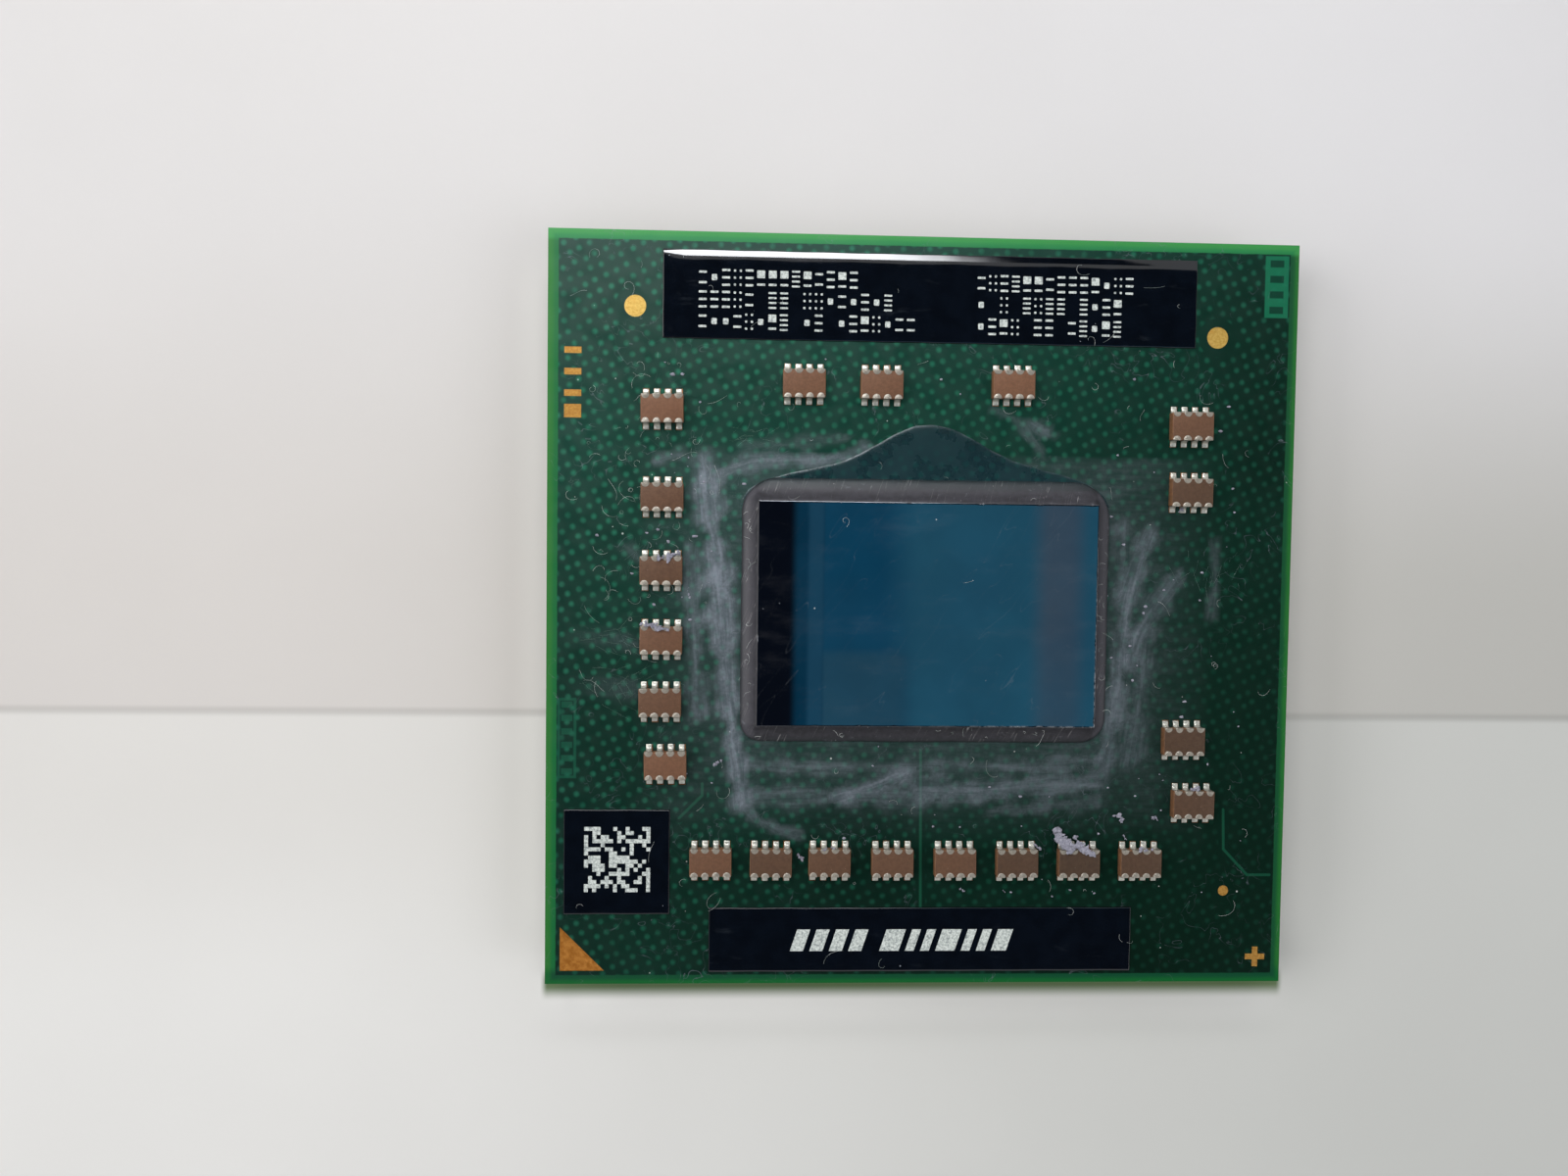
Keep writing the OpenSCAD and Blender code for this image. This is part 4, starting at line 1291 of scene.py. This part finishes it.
# ragged crumbs: path (x, y, height over the top face), size, thickness, seed, number of lumps
CRUMBS = [
    ([(6.55, -10.1, 0.12), (6.65, -10.5, 0.4), (6.9, -10.85, 0.58), (7.35, -11.1, 0.6)],
     0.2, 0.06, 1, 40),
    ([(6.85, -10.75, 0.5), (7.3, -10.8, 0.5), (7.75, -10.95, 0.58), (8.05, -11.15, 0.6)],
     0.17, 0.05, 31, 34),
    ([(7.35, -10.4, 0.3), (7.5, -10.7, 0.42)], 0.1, 0.05, 32, 8),
    ([(11.1, -9.6, 0.02), (11.4, -9.7, 0.03)], 0.07, 0.035, 33, 6),
    ([(5.6, -11.0, 0.02), (5.75, -11.1, 0.03)], 0.08, 0.035, 34, 6),
    ([(9.7, -10.4, 0.02), (9.85, -10.6, 0.03)], 0.06, 0.03, 35, 4),
    ([(7.2, -13.05, 0.02), (7.35, -13.1, 0.03)], 0.05, 0.03, 36, 4),
    ([(8.35, -13.15, 0.02), (8.45, -13.2, 0.03)], 0.05, 0.03, 37, 3),
    ([(4.0, -13.1, 0.02), (4.15, -13.15, 0.03)], 0.05, 0.03, 38, 3),
    ([(-9.4, -6.95, 0.02), (-9.65, -7.15, 0.03)], 0.1, 0.04, 39, 7),
    ([(-11.0, -7.5, 0.02), (-11.1, -7.7, 0.03)], 0.07, 0.04, 40, 4),
    ([(-11.35, 2.75, 0.2), (-11.7, 2.6, 0.55), (-12.3, 2.45, 0.6)], 0.13, 0.05, 2, 20),
    ([(-13.0, -0.55, 0.6), (-12.5, -0.6, 0.62), (-11.9, -0.75, 0.6)], 0.12, 0.045, 3, 22),
    ([(12.9, -8.2, 0.3), (13.2, -8.1, 0.5)], 0.11, 0.05, 4, 9),
    ([(-5.7, -11.3, 0.03), (-5.55, -11.55, 0.06)], 0.11, 0.05, 5, 8),
    ([(9.4, -9.5, 0.02), (9.65, -9.7, 0.04)], 0.13, 0.045, 6, 9),
    ([(12.2, 5.2, 0.1), (12.1, 4.95, 0.2)], 0.1, 0.05, 7, 7),
    ([(10.3, -10.95, 0.6), (11.0, -11.0, 0.6)], 0.09, 0.035, 8, 12),
    ([(-4.6, -11.0, 0.6), (-4.0, -10.9, 0.5)], 0.06, 0.03, 9, 7),
    ([(1.9, -13.0, 0.02), (2.2, -13.1, 0.02)], 0.06, 0.03, 10, 5),
    ([(-11.0, 1.2, 0.02), (-10.9, 0.4, 0.02)], 0.05, 0.03, 11, 7),
]


def lump(cx, cy, z, size_x, size_y, size_z, seed, rough=0.75):
    """A bumpy flattened ball, cut off flat below."""
    verts, faces = icosphere(3)
    dice = np.random.default_rng(seed)
    coarse = dice.normal(size=(9, 3)) * 2.2
    phase = dice.random(9) * 6.28
    swell = sum(np.sin(verts @ coarse[i] + phase[i]) / (1 + i * 0.35) for i in range(9))
    fine = dice.normal(size=(8, 3)) * 7.5
    grain = sum(np.sin(verts @ fine[i] + phase[i] * 2) for i in range(8))
    verts = verts * (1 + rough * (swell / 3.2)[:, None] * 0.6 + rough * 0.10 * grain[:, None])
    verts[:, 2] = np.maximum(verts[:, 2], -0.35)
    angle = dice.random() * 3.14
    cos, sin = math.cos(angle), math.sin(angle)
    x, y = verts[:, 0] * size_x, verts[:, 1] * size_y
    return np.stack([x * cos - y * sin + cx, x * sin + y * cos + cy,
                     verts[:, 2] * size_z + z], 1), faces


def crumb(path, size, thick, seed, count):
    """Small lumps scattered along a path."""
    dice = np.random.default_rng(seed)
    parts = []
    for _ in range(count):
        t = dice.random() * (len(path) - 1)
        k = min(int(t), len(path) - 2)
        (ax, ay, az), (bx, by, bz) = path[k], path[k + 1]
        q = t - k
        x = ax + (bx - ax) * q + dice.normal() * size * 0.55
        y = ay + (by - ay) * q + dice.normal() * size * 0.45
        height = az + (bz - az) * q
        radius = size * dice.uniform(0.35, 0.95)
        parts.append(lump(x, y, Z_TOP + height + dice.normal() * thick * 0.3,
                          radius * dice.uniform(0.8, 1.4), radius * dice.uniform(0.5, 0.9),
                          thick * dice.uniform(0.6, 1.2), int(dice.integers(1e6))))
    return parts


def scattered_grains():
    """Single grains in three loose clusters and over the whole face."""
    parts = []
    for i in range(120):
        if i % 4 == 0:
            x, y = rng.gauss(-11.6, 1.0), rng.gauss(5.0, 3.4)
        elif i % 4 == 1:
            x, y = rng.gauss(6.5, 3.2), rng.gauss(-11.3, 1.2)
        elif i % 4 == 2:
            x, y = rng.gauss(12.2, 1.4), rng.gauss(-3.0, 5.5)
        else:
            x, y = rng.uniform(-16, 16), rng.uniform(-13, 12)
        on_die = -7.9 < x < 8.1 and -5.3 < y < 5.3
        if not (-16.8 < x < 16.8 and -13.6 < y < 12.4) or on_die:
            continue
        on_capacitor = any(abs(x - cx) < 1.3 and abs(y - cy) < 1.1
                           for cx, cy in LEFT + BACK + RIGHT + FRONT)
        if on_capacitor and rng.random() < 0.8:
            continue
        size = abs(rng.gauss(0.035, 0.02)) + 0.014
        verts, faces = icosphere(1)
        jitter = np.array([rng.uniform(-1, 1) for _ in range(len(verts))])
        verts = verts * (1 + 0.35 * jitter)[:, None]
        verts = verts * [size * rng.uniform(0.8, 1.9), size, size * 0.6]
        parts.append((verts + [x, y, Z_TOP + size * 0.25], faces))
    return parts


lumps = [part for entry in CRUMBS for part in crumb(*entry)] + scattered_grains()
add_piece("dried_paste_crumbs", *join(lumps), "paste", sharp=70)


def fibre(x, y, z, length, seed, radius=0.0045, aim=None):
    """A thin curled fibre as a closed tube. With an aim in radians it is nearly straight."""
    dice = np.random.default_rng(seed)
    count, sides = 22, 5
    start = dice.random() * 6.28
    bend = dice.normal() * 2.4
    curl = dice.normal() * 5.0
    if aim is not None:
        start, bend, curl = aim, bend * 0.08, curl * 0.05
    points = []
    for i in range(count):
        t = i / (count - 1)
        angle = start + bend * t + curl * t * t * 0.4
        x += math.cos(angle) * length / count
        y += math.sin(angle) * length / count
        points.append((x, y, z + 0.03 * math.sin(math.pi * t) + 0.01))
    points = np.array(points)
    tangent = np.gradient(points, axis=0)
    tangent /= np.linalg.norm(tangent, axis=1)[:, None]
    side = np.cross(tangent, [0, 0, 1.0])
    side /= np.linalg.norm(side, axis=1)[:, None]
    up = np.cross(side, tangent)
    verts = []
    for i in range(count):
        ring = radius * (0.35 if i in (0, count - 1) else 1.0)
        for k in range(sides):
            angle = 2 * math.pi * k / sides
            verts.append(points[i] + side[i] * math.cos(angle) * ring
                         + up[i] * math.sin(angle) * ring)
    faces = []
    for i in range(count - 1):
        for k in range(sides):
            a, b = i * sides + k, i * sides + (k + 1) % sides
            faces.append([a, b, b + sides, a + sides])
    faces.append(list(range(sides)))
    faces.append([(count - 1) * sides + k for k in reversed(range(sides))])
    return np.array(verts), faces


def loose_hairs():
    """Hairs over the top face, the die and the printed pads."""
    hairs = []
    for i in range(190):
        x, y = rng.uniform(-16.2, 16.2), rng.uniform(-16.4, 16.6)
        if i % 3 == 0:
            x, y = rng.gauss(-13.0, 1.5), rng.gauss(6.0, 4.0)
        if abs(x) > 16.4 or abs(y) > 16.6:
            continue
        z = Z_TOP
        if DIE_X0 - 0.2 < x < DIE_X1 + 0.2 and DIE_Y0 - 0.2 < y < DIE_Y1 + 0.2:
            if i % 4:
                continue
            z = DIE_HI.z
            x = min(max(x, DIE_X0 + 1.2), DIE_X1 - 1.2)
            y = min(max(y, DIE_Y0 + 1.2), DIE_Y1 - 1.2)
        elif ((-12.3 < x < 12.7 and y > 12.2) or (-10 < x < 10.4 and y < -13.5)
              or (x < -11.4 and -14.6 < y < -9)):
            z = Z_TOP + INK_T
            if i % 2:
                continue
        hairs.append(fibre(x, y, z, abs(rng.gauss(0.35, 0.45)) + 0.2, 1000 + i))
    return hairs


def caught_hairs():
    """Short hairs caught on the resin round the die."""
    hairs = []
    for i in range(46):
        side = rng.random()
        if side < 0.4:
            x, y = -8.0 - rng.random() * 0.35, rng.uniform(-4.8, 5.2)
        elif side < 0.75:
            x, y = rng.uniform(-7.6, 7.8), -5.35 - rng.random() * 0.4
        elif side < 0.9:
            x, y = 8.25 + rng.random() * 0.3, rng.uniform(-5.0, 4.0)
        else:
            x, y = rng.uniform(-7.0, 7.6), 5.4 + rng.random() * 0.35
        length = abs(rng.gauss(0.25, 0.2)) + 0.12
        hairs.append(fibre(x, y, DIE_LO.z + 0.5, length, 4000 + i, radius=0.0055))
    return hairs


add_piece("lint_fibres", *join(loose_hairs() + caught_hairs()), "lint")

# groups of fine scuffs that run the same way: x, y, spread in x, spread in y, count, angle
SCUFFS = [
    (-14.3, -1.3, 1.3, 0.9, 26, -0.25), (-14.2, -3.4, 1.6, 0.7, 30, -0.12),
    (-13.2, 2.4, 0.9, 0.9, 16, 0.7), (13.3, 1.6, 1.6, 1.3, 18, 1.4),
    (-9.0, 8.2, 1.8, 0.6, 14, -0.05),
]
scuffs = [
    fibre(rng.gauss(x, spread_x * 0.6), rng.gauss(y, spread_y * 0.6), Z_TOP - 0.012,
          abs(rng.gauss(0.5, 0.35)) + 0.15, 7000 + i + int(x * 10), radius=0.0026,
          aim=angle + rng.gauss(0, 0.5))
    for x, y, spread_x, spread_y, count, angle in SCUFFS for i in range(count)]
add_piece("wiping_scuffs", *join(scuffs), "scuff")


# ---------------------------------------------------------------- stage

def stage_plane(name, x, y, z, size_x, size_y, material, face_down=False):
    mesh = bpy.data.meshes.new(name)
    corners = [(-size_x / 2, -size_y / 2, 0), (size_x / 2, -size_y / 2, 0),
               (size_x / 2, size_y / 2, 0), (-size_x / 2, size_y / 2, 0)]
    face = [3, 2, 1, 0] if face_down else [0, 1, 2, 3]
    mesh.from_pydata([tuple(c * MM for c in corner) for corner in corners], [], [face])
    mesh.materials.append(material)
    plane = bpy.data.objects.new(name, mesh)
    plane.location = (x * MM, y * MM, z * MM)
    bpy.context.scene.collection.objects.link(plane)
    return plane


def only_reflected(plane):
    """Leaves the plane visible to glossy rays alone."""
    for kind in ("camera", "diffuse", "transmission", "shadow", "volume_scatter"):
        setattr(plane, f"visible_{kind}", False)


def floor_material():
    """Two sheets of paper that meet in a seam near y = -5.2."""
    mat = Material("floor_paper")
    x, y, _ = mat.xyz
    # painted shade: the paper is darker close to the package and towards the right, and a faint
    # band at the front right is darker still
    rightward, frontward = x.step(-36.0, 30.0), y.step(22.0, 0.0)
    back_sheet = mix(frontward, mix(rightward, rgb(204, 202, 202), rgb(207, 206, 208)),
                     mix(rightward, rgb(199, 195, 192), rgb(177, 176, 172)))
    shade_near_package = y.step(-20.0, -8.0)
    front_sheet = mix(rightward, mix(shade_near_package, rgb(217, 216, 214), rgb(208, 206, 203)),
                      rgb(191, 192, 189))
    band = x.step(27.0, 21.0) * (x.step(8.0, 18.0) * y.step(-20.0, -10.0))
    front_sheet = mix(band * 0.1, front_sheet, rgb(60, 60, 56))
    color = mix(y.step(-5.05, -5.4), back_sheet, front_sheet)
    # light comes back near the package, and a thin contact shadow lies under its front edge;
    # the front light and the shadow are painted only for a camera overhead
    above = mat.geometry("Incoming")[2].step(0.74, 0.83)
    off_x = abs(x - 0.5)
    beside = abs(y).step(18.0, 14.5)
    in_front = y.step(-17.8, -18.6) * above
    front_lift = (y.step(-21.3, -19.3) * in_front) * (
        off_x.step(19.6, 16.4) * x.step(-13.0, 12.0, 0.82, 0.4))
    left_lift = (x.step(-20.0, -18.0) * x.step(-8.0, -10.0)) * (beside * 0.24)
    right_lift = (x.step(21.5, 19.2) * x.step(8.0, 10.0)) * (beside * 0.18)
    color = mix(front_lift.max(left_lift.max(right_lift)), color, rgb(246, 245, 243))
    contact = (y.step(-19.58, -18.78) * in_front) * off_x.step(18.75, 18.35)
    color = mix(contact, color, rgb(92, 112, 76))
    seam = abs(y + 5.2).step(0.32, 0.04)
    color = mix(seam * 0.2, color, rgb(60, 58, 56))
    clouds = mat.noise(0.05, detail=5, rough=0.5).step(0.35, 0.65, 0.0, 0.05)
    color = mix(clouds, color, rgb(150, 148, 146))
    specks = dust(mat, cell=5.0, radius=0.08, share=0.08, shift=2.0)
    color = mix(specks * 0.5, color, rgb(120, 112, 106))
    mat.bump(mat.noise(3.0, detail=5), strength=0.15, depth=0.00002)
    return mat.surface(color, 0.75, metal=0.0, specular=0.25)


def holder_material():
    """What the mirror of the die sees: a dark holder with a teal screen. Linear colours."""
    mat = Material("reflected_holder")
    x, y, _ = mat.xyz
    left_edge = x.step(-3.25, -2.35)
    screen = mix(x.step(5.0, 9.5), (0.010, 0.108, 0.205, 1), (0.036, 0.178, 0.272, 1))
    low_left = x.step(9.0, 6.5) * y.step(-6.4, -7.6)
    screen = mix(low_left, screen, (0.036, 0.135, 0.21, 1))
    screen = mix(x.step(0.1, -0.2), screen, (0.006, 0.066, 0.128, 1))
    light_bar = x.step(-1.75, -1.3) * x.step(0.0, -0.25)
    screen = mix(light_bar * 0.7, screen, (0.032, 0.14, 0.235, 1))
    stripe = x.step(19.0, 21.4) * x.step(25.4, 23.2) * y.step(-14.0, -4.0, 0.7, 1.0)
    screen = mix(stripe * 0.7, screen, (0.12, 0.15, 0.2, 1))
    screen = mix(x.step(25.0, 29.0), screen, (0.05, 0.2, 0.31, 1))
    clouds = mat.noise(0.11, detail=3, rough=0.5).step(0.3, 0.7, 0.0, 0.3)
    screen = mix(clouds, screen, (0.03, 0.14, 0.24, 1))
    inside = (left_edge * x.step(36.0, 34.0)) * (y.step(-21.0, -19.5) * y.step(13.5, 12.0))
    return mat.emission(mix(inside, (0.006, 0.009, 0.017, 1), screen), strength=1.0)


def window_material():
    mat = Material("reflected_window")
    return mat.emission((0.95, 0.97, 1.0, 1), strength=mat.xyz[0].step(42.0, 22.0, 0.0, 13.0))


stage_plane("floor", 0, 0, -0.005, 4000, 4000, floor_material())
holder = stage_plane("reflected_holder", -0.29, 0.04, DIE_HI.z + 56.0, 118, 76,
                     holder_material(), face_down=True)
holder.data.transform(Matrix.Translation((0.010, -0.003, 0)))  # metres, off its origin
only_reflected(holder)
# a bright window behind the part
only_reflected(stage_plane("reflected_window", -12, 84, 104, 120, 44, window_material(),
                           face_down=True))


def area_light(name, at, aim, size, watts, color):
    light = bpy.data.lights.new(name, "AREA")
    light.shape = "RECTANGLE"
    light.size, light.size_y = size[0] * MM, size[1] * MM
    light.energy = watts
    light.color = color
    lamp = bpy.data.objects.new(name, light)
    lamp.location = [c * MM for c in at]
    direction = (Vector(aim) - Vector(at)).normalized()
    lamp.rotation_mode = "QUATERNION"
    lamp.rotation_quaternion = direction.to_track_quat("-Z", "Y")
    bpy.context.scene.collection.objects.link(lamp)
    return lamp


window = area_light("window_back_left", at=(-14, 86, 104), aim=(0, 10, 0), size=(78, 46),
                    watts=0.07, color=(1.0, 0.99, 0.97))
window.visible_glossy = False
area_light("soft_left", at=(-190, 40, 190), aim=(0, 0, 0), size=(160, 160), watts=0.36,
           color=(1.0, 0.99, 0.98))
area_light("soft_right", at=(200, -60, 190), aim=(0, 0, 0), size=(140, 140), watts=0.12,
           color=(0.97, 0.98, 1.0))

scene = bpy.context.scene
world = bpy.data.worlds.new("studio")
scene.world = world
world.use_nodes = True
background = world.node_tree.nodes["Background"]
background.inputs["Color"].default_value = (0.86, 0.87, 0.88, 1)
background.inputs["Strength"].default_value = 0.55

# ---------------------------------------------------------------- camera

lens = bpy.data.cameras.new("camera")
lens.lens = 27.06
lens.sensor_width = 36.0
lens.clip_start = 0.001  # metres
lens.clip_end = 20.0
camera = bpy.data.objects.new("camera", lens)
camera.location = (-8.9424 * MM, 3.3004 * MM, (54.7971 + Z_TOP) * MM)
camera.rotation_mode = "QUATERNION"
camera.rotation_quaternion = Quaternion((0.99955051, -0.01964889, -0.02189637, 0.0057659))
scene.collection.objects.link(camera)
scene.camera = camera

scene.view_settings.view_transform = "Standard"
scene.view_settings.look = "None"
